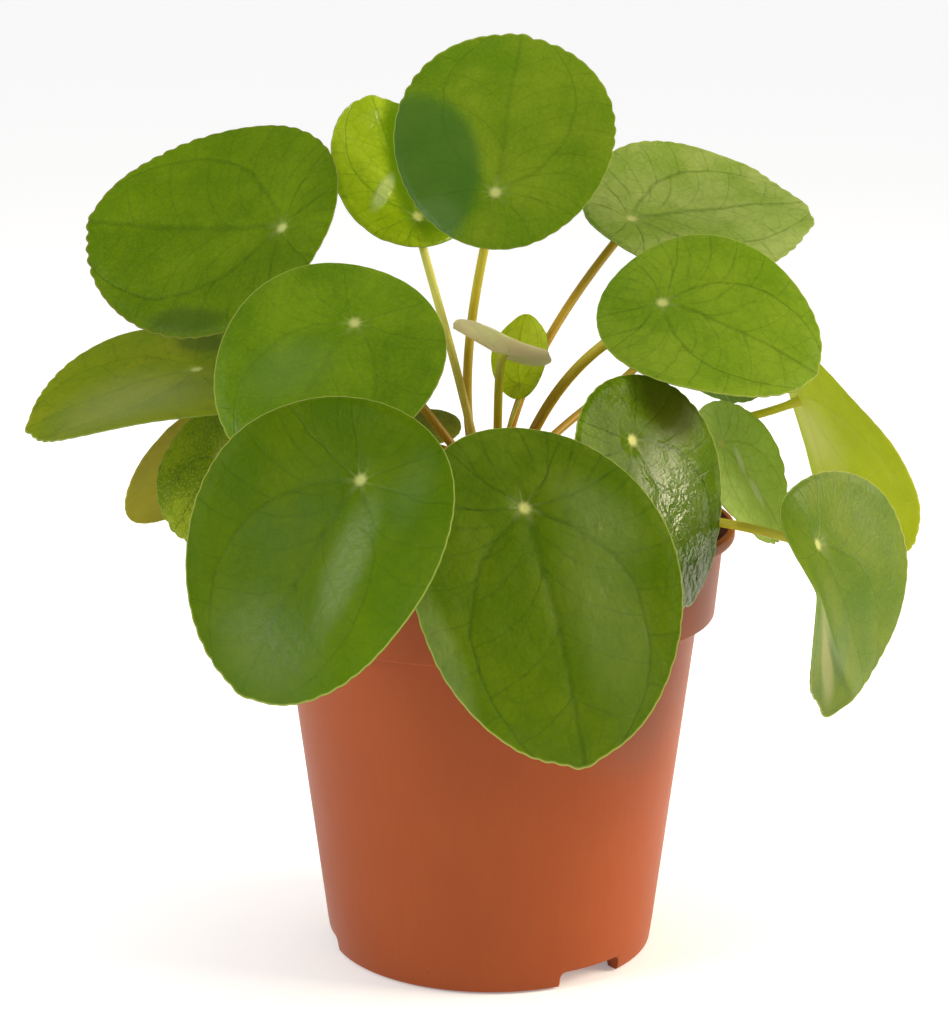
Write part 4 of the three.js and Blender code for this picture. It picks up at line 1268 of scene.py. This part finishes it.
print("blades:", len(leaf_pieces), "with", len(leaf_pieces[0].data.polygons), "faces each")

# %% [markdown]
# ## Floor, light and backdrop
# The photo is a studio cut-out: plain white all round, and the plant lit by one large soft light
# from the upper right with a weaker one from the left. The white surroundings shine through the
# leaves from behind, so they are part of the light.

# %% Floor
FLOOR_SIZE = 80
FLOOR_DROP = 0.4
FLOOR_GLOW = 0.24

# The floor lies a hair below the pot, so that the two share no plane, and glows a little, which
# keeps it white where the lights are weak.
floor_paint, tree = new_material("matt_white_paint")
shader = add_node(tree, "BsdfPrincipled",
                  {"Base Color": linear("#F2F2F2"), "Roughness": 0.9, "Specular IOR Level": 0.1,
                   "Emission Color": linear("#FFFFFF"), "Emission Strength": FLOOR_GLOW})
add_node(tree, "OutputMaterial", {"Surface": shader})
fresh()
bpy.ops.mesh.primitive_plane_add(size=FLOOR_SIZE, location=(0, 0, -FLOOR_DROP * MM))
floor = bpy.context.object
floor.name = "studio_floor"
floor.data.materials.append(floor_paint)
bpy.ops.object.transform_apply(location=True)
floor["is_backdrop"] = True
print("floor:", floor.name, FLOOR_SIZE, "m")

# %% Lights and world
def soft_light(name, place, aim, size, power, colour="#FFFFFF"):
    fresh()
    bpy.ops.object.light_add(type="AREA", location=place)
    lamp = bpy.context.object
    lamp.name = name
    lamp.data.shape = "SQUARE"
    lamp.data.size = size
    lamp.data.energy = power
    lamp.data.color = linear(colour)[:3]
    towards = Vector(aim) - Vector(place)
    lamp.rotation_euler = towards.to_track_quat("-Z", "Y").to_euler()
    return lamp


AIM = (0.0, 0.0, 0.12)
soft_light("key_right", (1.0, -0.1, 0.5), AIM, 0.6, 15.5, "#FFEED0")
soft_light("fill_left", (-0.85, -0.5, 0.62), AIM, 0.4, 6.0)

# %% White surroundings
# They are brighter behind the plant, and mirror-like rays see them dimmed, as black card beside
# the camera does in a studio.
FRONT_SKY = 0.45
BACK_SKY = 1.2
SHOWN_SKY = 1.05

world = bpy.data.worlds.new("white_studio")
bpy.context.scene.world = world
world.use_nodes = True
tree = world.node_tree
tree.nodes.clear()
place = add_node(tree, "TexCoord", output="Generated")
back = add_node(tree, "SeparateXYZ", {"Vector": place}, output=1)
strength = add_node(tree, "MapRange", {"Value": back, "From Min": -0.5, "From Max": 0.6,
                                       "To Min": FRONT_SKY, "To Max": BACK_SKY}, **SMOOTH)
seen = add_node(tree, "LightPath", output="Is Camera Ray")
mirrored = seen.node.outputs["Is Glossy Ray"]
dimmed = add_node(tree, "Math", {0: mirrored, 1: -0.9, 2: 1.0}, operation="MULTIPLY_ADD")
strength = add_node(tree, "Math", {0: strength, 1: dimmed}, operation="MULTIPLY")
shown = add_node(tree, "Mix", {0: seen, 2: strength, 3: SHOWN_SKY}, data_type="FLOAT")
light = add_node(tree, "Background", {"Color": linear("#FFFFFF"), "Strength": shown})
add_node(tree, "OutputWorld", {"Surface": light})
bpy.context.scene.view_settings.view_transform = "Standard"
print("world:", world.name, "from", FRONT_SKY, "to", BACK_SKY)

# %% [markdown]
# ## Sizes, and the end
# The box of what was built is written beside that of the imported solids, so that the two can be
# compared after each render.

# %% Print both sizes
scene_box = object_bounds()
for label, box in (("cad", cad_box), ("scene", scene_box)):
    print(label, [[round(c / MM, 1) for c in corner] for corner in box])
